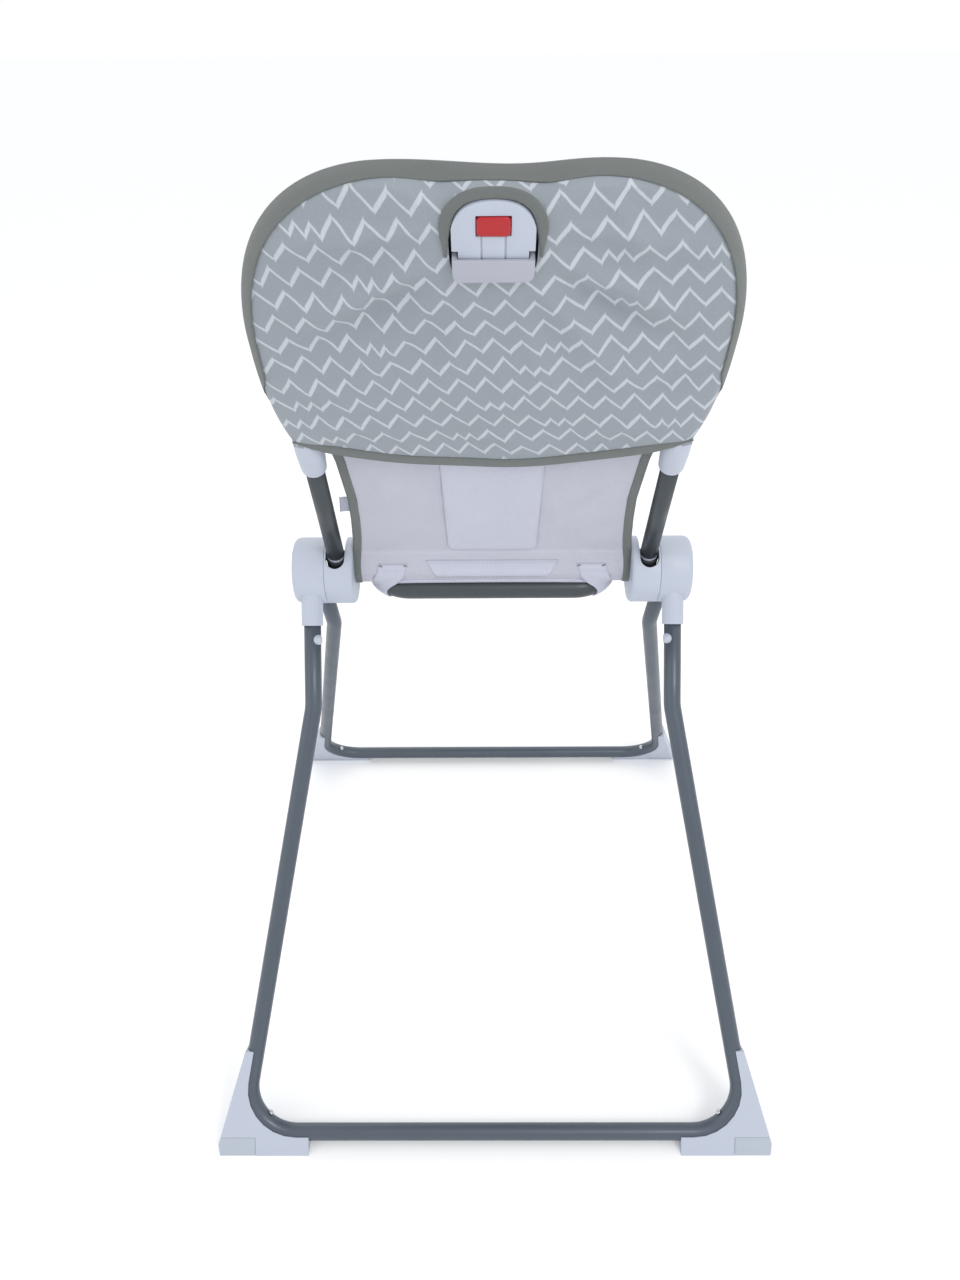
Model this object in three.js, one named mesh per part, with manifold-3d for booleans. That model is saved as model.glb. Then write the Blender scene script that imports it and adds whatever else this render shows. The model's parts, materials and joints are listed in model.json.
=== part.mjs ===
// Raised folding baby seat: a reclining fabric seat carried between two side hubs, on an
// A-frame of two U-shaped tube leg frames with moulded corner feet.
// Millimetres, +Z up. The person in the seat faces -Y, so "rear" is +Y and "left" is +X.
// The origin is on the floor, midway between the two leg frames.
import * as THREE from 'three';
import { mergeVertices } from 'three/addons/utils/BufferGeometryUtils.js';
import Module from 'manifold-3d';

const wasm = await Module();
wasm.setup();

// ---------------------------------------------------------------- driving dimensions
const GAP = 0.3;                // clearance between pieces that touch
const RUN = 0.4;                // clearance round pieces that turn or slide

const HUB_Z = 536.5;             // height of the side hubs' axis
const WHEELBASE = 642;          // floor bar to floor bar
const BAR_Z = 13.5;             // height of the floor bars' centre line
const LEG_TUBE_R = 9;
const LEG_X_TOP = 191.5;        // leg tube at the hub, from the middle plane
const LEG_X_FLOOR = 275.5;      // where leg and floor bar would meet, from the middle plane
const LEG_KNEE = 146;           // distance below the hub at which the legs start to spread
const LEG_SET = 13;             // legs pass this far beside the hub axis, so they fold side by side
const LEG_KNEE_BEND_R = 62;
const LEG_CORNER_BEND_R = 50;
const LEG_CROWN = 23.4;         // upper end of the leg tubes below the hub axis

const FOOT_HALF_WIDTH = 300;    // overall width of the feet is twice this
const FOOT_TOP = 103;           // foot height above the floor bar's lowest line, along the leg
const FOOT_INNER_X = 202;
const FOOT_THICK = 20;
const SCREW_R = 3.4;
const PAD_LENGTH = 40;
const PAD_HEIGHT = 15;

const HUB_R = 35.4;
const HUB_WALL = 3.2;
const HUB_IN_X = 146;           // inner face of the hub
const HUB_SEAM_X = 175.5;       // parting line between the two hub halves
const HUB_OUT_X = 210;
const AXLE_R = 5;
const FOLD_BUTTON_R = 7;
const FOLD_BUTTON_UP = 16.6;     // fold button's centre above the hub axis
const SLEEVE_R = 11.4;          // leg sleeve under the hub
const SLEEVE_END = 59;          // sleeve's lower end, from the hub axis

const BACK_LEAN = 27.8;         // degrees the back leans behind upright, in its middle position
const BACK_TUBE_R = 9;
const BACK_TUBE_X = 163.7;
const BACK_TUBE_TOP = 205;      // lower back tubes end inside the joining sleeves
const BACK_HOOP_TOP = 465;      // centre line of the upper hoop at its highest
const HOOP_BEND_R = 90;
const RECLINE_BACK = 15;        // degrees from the middle position to the flattest
const RECLINE_FORWARD = 50;     // degrees from the middle position to folded forward
const SEAT_TIP = 55;            // degrees the seat and back tip forward to fold

const HOOD_TOP = BACK_HOOP_TOP + BACK_TUBE_R + 5;
const HOOD_HALF_WIDTH = 188;
const HOOD_HEM_SIDE = 224;
const HOOD_HEM_MIDDLE = 188;
const HOOD_HEM_HALF = 183;
const HOOD_WALL = 5;
const HOOD_REAR = 22;           // rear face of the hood behind the tubes' centre plane

const SEAT_TUBE_R = 11;
const SEAT_DROP = 22;           // seat tubes' centre line below the hub axis, at the rear bar
const SEAT_RISE = 5;            // degrees the seat rises towards the front
const SEAT_TUBE_X = 124;
const SEAT_REAR_Y = 4;          // rear seat bar behind the hub axis
const SEAT_DEPTH = 292;         // rear bar to the tube ends
const SEAT_BEND_R = 36;
const SEAT_PAD_THICK = 25;
const SEAT_PAD_HALF = SEAT_TUBE_X + SEAT_TUBE_R - 1;
const FRONT_BAR_R = 8;

const LEG_REST_LENGTH = 172;
const LEG_REST_HALF = SEAT_TUBE_X - 19;
const LEG_REST_HANG = 82;       // degrees below horizontal
const LEG_REST_PAD = 18;

const BACK_PAD_THICK = 30;
const BACK_PAD_FRONT_GAP = 1.2; // between the tubes and the back pad
const LINING_HALF = 139;
const BOARD_HALF = 46;

const HOUSING_HALF = 28;
const HOUSING_TOP = 470;
const LEVER_BOTTOM = 409;
const LEVER_TOP = 427;
const HOUSING_REAR = 30.2;
const LEVER_TRAVEL = 4;
const BUTTON_WIDTH = 22.5;
const BUTTON_HEIGHT = 14.5;
const BUTTON_V = 451.5;
const BUTTON_TRAVEL = 3;

const STRAP_WIDTH = 25;
const STRAP_THICK = 2;

// ---------------------------------------------------------------- worked-out values
const rad = THREE.MathUtils.degToRad;
const legReach = Math.hypot(WHEELBASE / 2, HUB_Z - BAR_Z);
const legLength = Math.sqrt(legReach ** 2 - LEG_SET ** 2);
const legAngle = Math.atan2(WHEELBASE / 2, HUB_Z - BAR_Z) - Math.asin(LEG_SET / legReach);
const SIDES = [['left', 1], ['right', -1]];
const TUBE_SIDES = 14;

// ---------------------------------------------------------------- materials
const paint = (color, roughness, metalness) =>
  new THREE.MeshStandardMaterial({ color, roughness, metalness });
const slatePaint = () => paint(0x59646e, 0.4, 0.5);
const darkPaint = () => paint(0x43494c, 0.45, 0.4);
const whitePlastic = () => paint(0xd3d5e2, 0.45, 0);
const greyFabric = () => paint(0x9fa7aa, 0.9, 0);
const whiteFabric = () => paint(0xcfcfdd, 0.85, 0);
const strapFabric = () => paint(0x6f7574, 0.85, 0);
const redPlastic = () => paint(0xc2282f, 0.4, 0);
const steel = () => paint(0xb8bcc0, 0.3, 1);
const softRubber = () => paint(0xc9ccd8, 0.8, 0);

// ---------------------------------------------------------------- solids
// A closed three.js geometry as a solid that can be joined and cut.
function solid(geometry) {
  const bare = geometry.clone();
  bare.deleteAttribute('normal');
  bare.deleteAttribute('uv');
  const merged = mergeVertices(bare, 1e-4);
  return new wasm.Manifold(new wasm.Mesh({
    numProp: 3,
    vertProperties: Float32Array.from(merged.attributes.position.array),
    triVerts: Uint32Array.from(merged.index.array),
  }));
}

function geometryOf(shape) {
  const mesh = shape.getMesh();
  const geometry = new THREE.BufferGeometry();
  geometry.setAttribute('position', new THREE.BufferAttribute(mesh.vertProperties, 3));
  geometry.setIndex(new THREE.BufferAttribute(mesh.triVerts, 1));
  geometry.computeVertexNormals();
  return geometry;
}

// Box between two corners.
function box([x0, y0, z0], [x1, y1, z1]) {
  const geometry = new THREE.BoxGeometry(Math.abs(x1 - x0), Math.abs(y1 - y0), Math.abs(z1 - z0));
  geometry.translate((x0 + x1) / 2, (y0 + y1) / 2, (z0 + z1) / 2);
  return solid(geometry);
}

// Solid turned about an axis parallel to X through (y, z); profile is [x, radius] pairs. A ring's
// profile is closed here, and every profile is walked the way that makes its faces point out.
function turnedX(profile, y = 0, z = 0, segments = 24) {
  const points = profile.map(([x, r]) => new THREE.Vector2(r, x));
  if (points[0].x > 0) points.push(points[0].clone());
  if (THREE.ShapeUtils.area(points) < 0) points.reverse();
  const geometry = new THREE.LatheGeometry(points, segments);
  geometry.rotateZ(-Math.PI / 2);
  geometry.translate(0, y, z);
  return solid(geometry);
}

const discX = (x0, x1, r, y = 0, z = 0, segments = 20) =>
  turnedX([[x0, 0], [x0, r], [x1, r], [x1, 0]], y, z, segments);

// Round bar along Z at (x, y).
function postZ(x, y, z0, z1, r, segments = 18) {
  const geometry = new THREE.CylinderGeometry(r, r, z1 - z0, segments);
  geometry.rotateX(Math.PI / 2);
  geometry.translate(x, y, (z0 + z1) / 2);
  return solid(geometry);
}

// Outline in (X, Z), extruded along Y from y0 to y1.
function slabY(shape, y0, y1, curveSegments = 10) {
  const geometry = new THREE.ExtrudeGeometry(shape, {
    depth: y1 - y0, bevelEnabled: false, curveSegments, steps: 1,
  });
  geometry.rotateX(Math.PI / 2);
  geometry.translate(0, y1, 0);
  return solid(geometry);
}

// Outline in (Y, Z), extruded along X from x0 to x1.
function slabX(shape, x0, x1, curveSegments = 10) {
  const geometry = new THREE.ExtrudeGeometry(shape, {
    depth: x1 - x0, bevelEnabled: false, curveSegments, steps: 1,
  });
  geometry.rotateY(Math.PI / 2);
  geometry.rotateX(Math.PI / 2);
  geometry.translate(x0, 0, 0);
  return solid(geometry);
}

function polygon(points) {
  return new THREE.Shape(points.map(([a, b]) => new THREE.Vector2(a, b)));
}

// Centre line of a bent tube: straight runs joined by arcs of one bend radius at the corners.
// The curve is stepped only at the ends of the straights and along the arcs.
class BentLine extends THREE.Curve {
  constructor(corners, radii, arcSteps = 6) {
    super();
    const points = corners.map((p) => new THREE.Vector3(...p));
    this.stations = [];
    this.centres = [];
    const add = (position, tangent) => this.stations.push({ position, tangent });
    const first = points[1].clone().sub(points[0]).normalize();
    add(points[0], first);
    for (let i = 1; i < points.length - 1; i += 1) {
      const into = points[i].clone().sub(points[i - 1]).normalize();
      const out = points[i + 1].clone().sub(points[i]).normalize();
      const turn = into.angleTo(out);
      const setBack = radii[i - 1] * Math.tan(turn / 2);
      const start = points[i].clone().addScaledVector(into, -setBack);
      const toCentre = out.clone().addScaledVector(into, -out.dot(into)).normalize();
      const centre = start.clone().addScaledVector(toCentre, radii[i - 1]);
      this.centres.push(new THREE.Vector2(centre.x, centre.z));
      const steps = Math.max(2, Math.ceil(arcSteps * turn / (Math.PI / 2)));
      for (let k = 0; k <= steps; k += 1) {
        const a = turn * k / steps;
        const position = centre.clone()
          .addScaledVector(into, radii[i - 1] * Math.sin(a))
          .addScaledVector(toCentre, -radii[i - 1] * Math.cos(a));
        const tangent = into.clone().multiplyScalar(Math.cos(a))
          .addScaledVector(toCentre, Math.sin(a)).normalize();
        add(position, tangent);
      }
    }
    const last = points.length - 1;
    add(points[last], points[last].clone().sub(points[last - 1]).normalize());
  }

  get steps() {
    return this.stations.length - 1;
  }

  at(t) {
    return this.stations[Math.round(t * this.steps)];
  }

  getPoint(t) {
    return this.at(t).position.clone();
  }

  getTangent(t) {
    return this.at(t).tangent.clone();
  }

  getUtoTmapping(u) {
    return u;
  }
}

function tube(line, radius, sides = TUBE_SIDES) {
  const section = new THREE.Shape();
  for (let i = 0; i < sides; i += 1) {
    const a = 2 * Math.PI * i / sides;
    const x = radius * Math.cos(a);
    const y = radius * Math.sin(a);
    if (i === 0) section.moveTo(x, y);
    else section.lineTo(x, y);
  }
  const geometry = new THREE.ExtrudeGeometry(section, {
    steps: line.steps, extrudePath: line, bevelEnabled: false,
  });
  return solid(geometry);
}

// ---------------------------------------------------------------- scene graph
const seat = new THREE.Group();

function frameAt(angle) {
  const group = new THREE.Group();
  group.position.set(0, 0, HUB_Z);
  group.rotation.x = angle;
  seat.add(group);
  return group;
}

// In each leg frame's own group -Z runs down the legs; in the back's group +Z runs up the back
// and +Y points behind it; in the seat's group -Y runs to the front along the seat.
const rearLegs = frameAt(legAngle);
const frontLegs = frameAt(-legAngle);
const hubs = frameAt(0);
const back = frameAt(-rad(BACK_LEAN));
const base = frameAt(-rad(SEAT_RISE));

function add(group, name, shape, material) {
  const mesh = new THREE.Mesh(geometryOf(shape), material);
  mesh.name = name;
  group.add(mesh);
}

// The part of a solid in `group` that is above the floor.
function aboveFloor(group, shape) {
  group.updateMatrix();
  const world = shape.transform(group.matrix.toArray());
  const reach = 2 * (WHEELBASE + FOOT_HALF_WIDTH);
  const cut = world.subtract(box([-reach, -reach, -reach], [reach, reach, 0]));
  return cut.transform(group.matrix.clone().invert().toArray());
}

// Turns a solid made in one group's axes into another group's axes.
function carry(shape, from, to) {
  from.updateMatrix();
  to.updateMatrix();
  const matrix = to.matrix.clone().invert().multiply(from.matrix);
  return shape.transform(matrix.toArray());
}

// ---------------------------------------------------------------- leg frames and feet
// Both leg frames are one U-shaped tube: `set` is the side on which it passes the hub axis.
function legLine(set) {
  const corners = [
    [LEG_X_TOP, set, -LEG_CROWN],
    [LEG_X_TOP, set, -LEG_KNEE],
    [LEG_X_FLOOR, set, -legLength],
    [-LEG_X_FLOOR, set, -legLength],
    [-LEG_X_TOP, set, -LEG_KNEE],
    [-LEG_X_TOP, set, -LEG_CROWN],
  ];
  return new BentLine(corners, [LEG_KNEE_BEND_R, LEG_CORNER_BEND_R, LEG_CORNER_BEND_R, LEG_KNEE_BEND_R]);
}

// Outer outline of a corner foot, in the plane of its leg frame.
function footShape(side, set) {
  const line = legLine(set).stations.map((s) => s.position).filter((p) => p.x > 0);
  const groove = LEG_TUBE_R * 0.15;
  const bottom = -legLength - 4 * LEG_TUBE_R;
  const top = -legLength - LEG_TUBE_R + FOOT_TOP;
  const slope = (LEG_X_FLOOR - LEG_X_TOP) / (legLength - LEG_KNEE);
  const legXAtTop = LEG_X_FLOOR - slope * (top + legLength);
  const outline = [
    [FOOT_INNER_X, bottom],
    [FOOT_HALF_WIDTH - 3, bottom],
    [FOOT_HALF_WIDTH, -legLength - LEG_TUBE_R],
    [legXAtTop + LEG_TUBE_R + 1.5, top],
    [legXAtTop + groove, top],
  ];
  const bend = line.filter((p) => p.z < top && p.x > FOOT_INNER_X);
  const centre = new THREE.Vector2(bend[0].x - LEG_CORNER_BEND_R, -legLength + LEG_CORNER_BEND_R);
  for (const p of bend) {
    const away = new THREE.Vector2(p.x - centre.x, p.z - centre.y).normalize();
    outline.push([p.x + away.x * groove, p.z + away.y * groove]);
  }
  outline.push([FOOT_INNER_X, -legLength - groove]);
  const points = outline.map(([x, z]) => [side * x, z]);
  if (side < 0) points.reverse();
  return polygon(points);
}

function legFrame(group, prefix, set) {
  const line = legLine(set);
  add(group, `${prefix}_leg_frame`, tube(line, LEG_TUBE_R), slatePaint());
  const groove = tube(line, LEG_TUBE_R + GAP);
  for (const [word, side] of SIDES) {
    const block = slabY(footShape(side, set), set - FOOT_THICK / 2, set + FOOT_THICK / 2);
    const foot = aboveFloor(group, block.subtract(groove));
    const padTop = -legLength - LEG_TUBE_R + PAD_HEIGHT / 2;
    const padInner = FOOT_HALF_WIDTH - PAD_LENGTH;
    const corner = (gap) => box(
      [side * (padInner - gap), -2 * FOOT_THICK, padTop + gap],
      [side * (FOOT_HALF_WIDTH + 10), 2 * FOOT_THICK, -legLength - 60],
    );
    add(group, `${prefix}_foot_${word}`, foot.subtract(corner(GAP)), whitePlastic());
    add(group, `${prefix}_foot_pad_${word}`, foot.intersect(corner(0)), softRubber());
    // the screw's head lies on the inside of the bend, half way round it
    const { x, y: z } = line.centres[1];
    const seatAt = LEG_CORNER_BEND_R - LEG_TUBE_R - 2 * GAP;
    const head = turnedX([[0, 0], [0, SCREW_R], [1, SCREW_R], [2, SCREW_R * 0.6], [2.2, 0]], 0, 0, 16)
      .rotate([0, side > 0 ? -135 : -45, 0])
      .translate([side * (x + seatAt * Math.SQRT1_2), set, z - seatAt * Math.SQRT1_2]);
    add(group, `${prefix}_foot_screw_${word}`, head, steel());
  }
}

legFrame(rearLegs, 'rear', LEG_SET);
legFrame(frontLegs, 'front', -LEG_SET);

// ---------------------------------------------------------------- side hubs
const cavityR = HUB_R - HUB_WALL;
const LUG_R = 19;
const LUG_OUT_X = 196;
const LUG_IN_X = 181;

// A cylinder with its axis along the legs, round the leg tube's line.
const legSleeve = (side, set, z0, z1, r) => postZ(side * LEG_X_TOP, set, z0, z1, r, 20);

// Mirror for what is drawn on the left, in the group's own axes.
const onSide = (shape, side) => (side > 0 ? shape : shape.mirror([1, 0, 0]));

// Outer hub half: a cup with the rear leg's sleeve, a boss for the axle's end, a window below
// for the front leg's swing and a hole for the fold button.
function outerHub() {
  const wallX = HUB_OUT_X - HUB_WALL - 1;
  const cup = turnedX([
    [HUB_SEAM_X + GAP, cavityR], [HUB_SEAM_X + GAP, HUB_R], [HUB_OUT_X - 6.5, HUB_R],
    [HUB_OUT_X - 2.6, HUB_R - 1.4], [HUB_OUT_X - 0.7, HUB_R - 3.7], [HUB_OUT_X, HUB_R - 7],
    [HUB_OUT_X, 0], [wallX, 0], [wallX, cavityR - 6], [wallX - 5, cavityR],
  ], 0, 0, 32);
  const boss = turnedX([
    [LUG_OUT_X + 1, AXLE_R + GAP], [LUG_OUT_X + 1, AXLE_R + 2.6], [wallX + 1, AXLE_R + 2.6],
    [wallX + 1, AXLE_R + GAP],
  ]);
  const sleeve = carry(legSleeve(1, LEG_SET, -SLEEVE_END, -LEG_CROWN + 3, SLEEVE_R), rearLegs, hubs);
  const bore = carry(
    legSleeve(1, LEG_SET, -SLEEVE_END - 1, -LEG_CROWN + GAP, LEG_TUBE_R + GAP), rearLegs, hubs);
  const corners = [
    [frontLegs, -LEG_SET - SLEEVE_R - 2, -LUG_R + 6],
    [frontLegs, -LEG_SET - SLEEVE_R - 2, -SLEEVE_END - 5],
    [hubs, 0, -2 * SLEEVE_END],
    [rearLegs, LEG_SET - SLEEVE_R - 1, -SLEEVE_END - 5],
    [rearLegs, LEG_SET - SLEEVE_R - 1, -LUG_R + 6],
  ].map(([group, y, z]) => new THREE.Vector2(y, z)
    .rotateAround(new THREE.Vector2(), group.rotation.x));
  const window = slabX(new THREE.Shape(corners),
    LEG_X_TOP - SLEEVE_R - RUN, LEG_X_TOP + SLEEVE_R + RUN);
  const button = discX(wallX - 10, HUB_OUT_X + 5, FOLD_BUTTON_R + RUN, 0, FOLD_BUTTON_UP);
  return cup.add(boss).subtract(window).add(sleeve).subtract(bore).subtract(button);
}

// Inner hub half: a cup facing the outer one, slotted for the back tube's swing.
function innerHub() {
  const wallX = HUB_IN_X + HUB_WALL;
  const cup = turnedX([
    [HUB_SEAM_X, HUB_R], [HUB_SEAM_X, cavityR], [wallX, cavityR], [wallX, AXLE_R + GAP],
    [HUB_IN_X, AXLE_R + GAP], [HUB_IN_X, HUB_R - 2], [HUB_IN_X + 2, HUB_R],
  ], 0, 0, 32);
  const slotHalf = BACK_TUBE_R + 2 * RUN;
  const endAngles = [
    rad(BACK_LEAN + RECLINE_BACK), rad(BACK_LEAN - RECLINE_FORWARD - SEAT_TIP),
  ];
  const outer = 2 * HUB_R;
  const sector = [[0, 0]];
  for (let i = 0; i <= 6; i += 1) {
    const a = endAngles[0] + (endAngles[1] - endAngles[0]) * i / 6;
    sector.push([outer * Math.sin(a), outer * Math.cos(a)]);
  }
  let slot = slabX(polygon(sector), BACK_TUBE_X - slotHalf, BACK_TUBE_X + slotHalf);
  for (const a of endAngles) {
    const end = postZ(0, 0, 0, outer, slotHalf, 20)
      .rotate([-THREE.MathUtils.radToDeg(a), 0, 0])
      .translate([BACK_TUBE_X, 0, 0]);
    slot = slot.add(end);
  }
  return cup.subtract(slot.subtract(discX(HUB_IN_X - 1, wallX, HUB_R + 1)));
}

// Socket on the front leg's upper end: a disc round the axle with a sleeve for the tube.
function legSocket() {
  const disc = discX(LUG_IN_X, LUG_OUT_X, LUG_R);
  const arm = legSleeve(1, -LEG_SET, -SLEEVE_END, -LUG_R + 6, SLEEVE_R - GAP);
  const tubeHole = legSleeve(1, -LEG_SET, -SLEEVE_END - 1, -LEG_CROWN + GAP, LEG_TUBE_R + GAP);
  const pinHole = discX(LUG_IN_X - 1, LUG_OUT_X + 1, AXLE_R + RUN);
  return disc.add(arm).subtract(tubeHole).subtract(pinHole);
}

// Knuckle that joins the back tube to the axle.
function backKnuckle() {
  const half = BACK_TUBE_R + 2;
  const disc = discX(BACK_TUBE_X - 8, BACK_TUBE_X + 8, 16);
  const collar = postZ(BACK_TUBE_X, 0, 8, 27, half);
  const socket = postZ(BACK_TUBE_X, 0, 13, 40, BACK_TUBE_R + GAP);
  const pinHole = discX(BACK_TUBE_X - 20, BACK_TUBE_X + 20, AXLE_R + RUN);
  return disc.add(collar).subtract(socket).subtract(pinHole);
}

function foldButton() {
  const wallX = HUB_OUT_X - HUB_WALL - 1;
  return turnedX([
    [wallX - 4, 0], [wallX - 4, FOLD_BUTTON_R + 1.4], [wallX - GAP, FOLD_BUTTON_R + 1.4],
    [wallX - GAP, FOLD_BUTTON_R], [HUB_OUT_X + 1.5, FOLD_BUTTON_R],
    [HUB_OUT_X + 2.5, FOLD_BUTTON_R - 1.2], [HUB_OUT_X + 2.5, 0],
  ], 0, FOLD_BUTTON_UP);
}

const axleIn = SEAT_TUBE_X + SEAT_TUBE_R + 1;
const bolt = turnedX([
  [axleIn - 5, 0], [axleIn - 5, AXLE_R + 3], [axleIn - GAP, AXLE_R + 3], [axleIn - GAP, AXLE_R],
  [HUB_OUT_X - HUB_WALL - 2, AXLE_R], [HUB_OUT_X - HUB_WALL - 2, 0],
]);

// Round plastic bumper on the inner rear side of each rear leg, just under its sleeve.
function bumper() {
  const [x, y, z] = [LEG_X_TOP - LEG_TUBE_R + 2, LEG_SET + LEG_TUBE_R - 3, -SLEEVE_END - 15];
  const ball = new THREE.SphereGeometry(5.6, 12, 8);
  ball.translate(x, y, z);
  const leg = legSleeve(1, LEG_SET, z - 20, z + 20, LEG_TUBE_R + GAP);
  return solid(ball).subtract(leg).subtract(box([0, -50, z - 20], [x - 3.6, 50, z + 20]));
}

for (const [word, side] of SIDES) {
  add(hubs, `hub_outer_${word}`, onSide(outerHub(), side), whitePlastic());
  add(hubs, `hub_inner_${word}`, onSide(innerHub(), side), whitePlastic());
  add(hubs, `hub_axle_${word}`, onSide(bolt, side), steel());
  add(hubs, `fold_button_${word}`, onSide(foldButton(), side), whitePlastic());
  add(rearLegs, `leg_bumper_${word}`, onSide(bumper(), side), whitePlastic());
  add(frontLegs, `front_leg_socket_${word}`, onSide(legSocket(), side), darkPaint());
  add(back, `back_knuckle_${word}`, onSide(backKnuckle(), side), darkPaint());
}

// ---------------------------------------------------------------- back frame
// The back group's axes: X across, Z up the back, Y behind it.
const hoopFoot = BACK_TUBE_TOP + 1;
const hoopLine = new BentLine([
  [BACK_TUBE_X, 0, hoopFoot], [BACK_TUBE_X, 0, BACK_HOOP_TOP],
  [-BACK_TUBE_X, 0, BACK_HOOP_TOP], [-BACK_TUBE_X, 0, hoopFoot],
], [HOOP_BEND_R, HOOP_BEND_R], 8);
add(back, 'back_hoop', tube(hoopLine, BACK_TUBE_R - 1), darkPaint());

const sleeveBottom = 171;
const sleeveTop = 232;
function hoopSleeve() {
  const outside = new THREE.LatheGeometry([
    [0, sleeveBottom], [11.2, sleeveBottom], [12, sleeveBottom + 3], [13.2, sleeveBottom + 24],
    [13.2, sleeveTop - 2], [12, sleeveTop], [0, sleeveTop],
  ].map(([r, z]) => new THREE.Vector2(r, z)), 20);
  outside.rotateX(Math.PI / 2);
  outside.translate(BACK_TUBE_X, 0, 0);
  const lower = postZ(BACK_TUBE_X, 0, sleeveBottom - 1, BACK_TUBE_TOP + GAP, BACK_TUBE_R + GAP);
  const upper = postZ(BACK_TUBE_X, 0, hoopFoot - GAP, sleeveTop + 1, BACK_TUBE_R - 1 + GAP);
  return solid(outside).subtract(lower).subtract(upper);
}

for (const [word, side] of SIDES) {
  const post = postZ(BACK_TUBE_X, 0, 13 + GAP, BACK_TUBE_TOP, BACK_TUBE_R, TUBE_SIDES);
  add(back, `back_tube_${word}`, onSide(post, side), darkPaint());
  add(back, `hoop_sleeve_${word}`, onSide(hoopSleeve(), side), whitePlastic());
}

// ---------------------------------------------------------------- back's soft parts
// Rounded outline of the hood over the upper back, drawn `inset` inside its outer edge.
function hoodShape(inset, hemDrop = 0) {
  const half = HOOD_HALF_WIDTH - inset;
  const top = HOOD_TOP - inset;
  const hemHalf = HOOD_HEM_HALF - inset;
  const widest = 322;
  const shape = new THREE.Shape();
  shape.moveTo(-hemHalf, HOOD_HEM_SIDE - hemDrop);
  shape.quadraticCurveTo(0, 2 * HOOD_HEM_MIDDLE - HOOD_HEM_SIDE - hemDrop,
    hemHalf, HOOD_HEM_SIDE - hemDrop);
  shape.quadraticCurveTo(half, 270, half, widest);
  shape.bezierCurveTo(half, 430, 150 - inset, top, 80, top);
  shape.lineTo(-80, top);
  shape.bezierCurveTo(-150 + inset, top, -half, 430, -half, widest);
  shape.quadraticCurveTo(-half, 270, -hemHalf, HOOD_HEM_SIDE - hemDrop);
  return shape;
}

const padRear = -BACK_TUBE_R - BACK_PAD_FRONT_GAP;
const hoodOpening = box([-HOUSING_HALF - 2, HOOD_REAR - HOOD_WALL - 1, LEVER_BOTTOM - 2],
  [HOUSING_HALF + 2, HOOD_REAR + 1, HOUSING_TOP + 2]);
const hood = slabY(hoodShape(0), padRear + GAP, HOOD_REAR)
  .subtract(slabY(hoodShape(HOOD_WALL, 4 * HOOD_WALL), padRear, HOOD_REAR - HOOD_WALL))
  .subtract(hoodOpening);
add(back, 'back_hood', hood, greyFabric());

// Front pad: the hood's outline above and the seat's width below, in a full layer and a
// smaller one in front of it, so that its upper edge falls away.
const padBottom = 56;
const padHalf = 132;
function backPadShape(inset) {
  const half = HOOD_HALF_WIDTH - inset;
  const top = HOOD_TOP - inset;
  const waist = padHalf - inset / 4;
  const shape = new THREE.Shape();
  shape.moveTo(-waist, padBottom);
  shape.lineTo(waist, padBottom);
  shape.lineTo(waist, 170);
  shape.bezierCurveTo(waist + 2, 240, half, 264, half, 322);
  shape.bezierCurveTo(half, 430, 150 - inset, top, 80, top);
  shape.lineTo(-80, top);
  shape.bezierCurveTo(-150 + inset, top, -half, 430, -half, 322);
  shape.bezierCurveTo(-half, 264, -waist - 2, 240, -waist, 170);
  return shape;
}
const padEdge = padRear - 0.4 * BACK_PAD_THICK;
const backPad = slabY(backPadShape(4), padEdge, padRear, 7)
  .add(slabY(backPadShape(28), padRear - BACK_PAD_THICK, padEdge, 7));
add(back, 'back_pad', backPad, greyFabric());

const liningBottom = 14;
const liningTop = 222;
const liningFront = -8.5;
const liningRear = -4.5;
const lining = box([-LINING_HALF, liningFront, liningBottom], [LINING_HALF, liningRear, liningTop]);
add(back, 'back_lining', lining, whiteFabric());

const boardBottom = 32;
const board = box([-BOARD_HALF, liningRear + GAP, boardBottom],
  [BOARD_HALF, liningRear + GAP + 2, liningTop]);
add(back, 'back_board', board, whiteFabric());

// ---------------------------------------------------------------- recline handle
const housingFront = 10;
const narrowHalf = HOUSING_HALF - 4.2;
const buttonPocket = 14;

function housingShape() {
  const shoulder = 449;
  const shape = new THREE.Shape();
  shape.moveTo(-HOUSING_HALF, LEVER_TOP + LEVER_TRAVEL + 1);
  shape.lineTo(HOUSING_HALF, LEVER_TOP + LEVER_TRAVEL + 1);
  shape.lineTo(HOUSING_HALF, shoulder);
  shape.bezierCurveTo(HOUSING_HALF - 3, shoulder + 14, 16, HOUSING_TOP, 0, HOUSING_TOP);
  shape.bezierCurveTo(-16, HOUSING_TOP, -HOUSING_HALF + 3, shoulder + 14, -HOUSING_HALF, shoulder);
  return shape;
}

const buttonHalf = BUTTON_WIDTH / 2;
const buttonBox = (grow, y0, y1) => box(
  [-buttonHalf - grow, y0, BUTTON_V - BUTTON_HEIGHT / 2 - grow],
  [buttonHalf + grow, y1, BUTTON_V + BUTTON_HEIGHT / 2 + grow]);
const neck = box([-narrowHalf, housingFront + 6, LEVER_BOTTOM + 8.5],
  [narrowHalf, HOUSING_REAR, LEVER_TOP + LEVER_TRAVEL + 2]);
const slotLine = (x) => box([x - 0.5, HOUSING_REAR - 1, LEVER_TOP - 4],
  [x + 0.5, HOUSING_REAR + 1, BUTTON_V]);
const housing = slabY(housingShape(), housingFront, HOUSING_REAR)
  .add(neck)
  .subtract(buttonBox(RUN, buttonPocket, HOUSING_REAR + 1))
  .subtract(slotLine(-8))
  .subtract(slotLine(8));
add(back, 'release_housing', housing, whitePlastic());
add(back, 'release_button', buttonBox(0, buttonPocket + BUTTON_TRAVEL + 1, HOUSING_REAR + 1.5),
  redPlastic());

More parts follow.
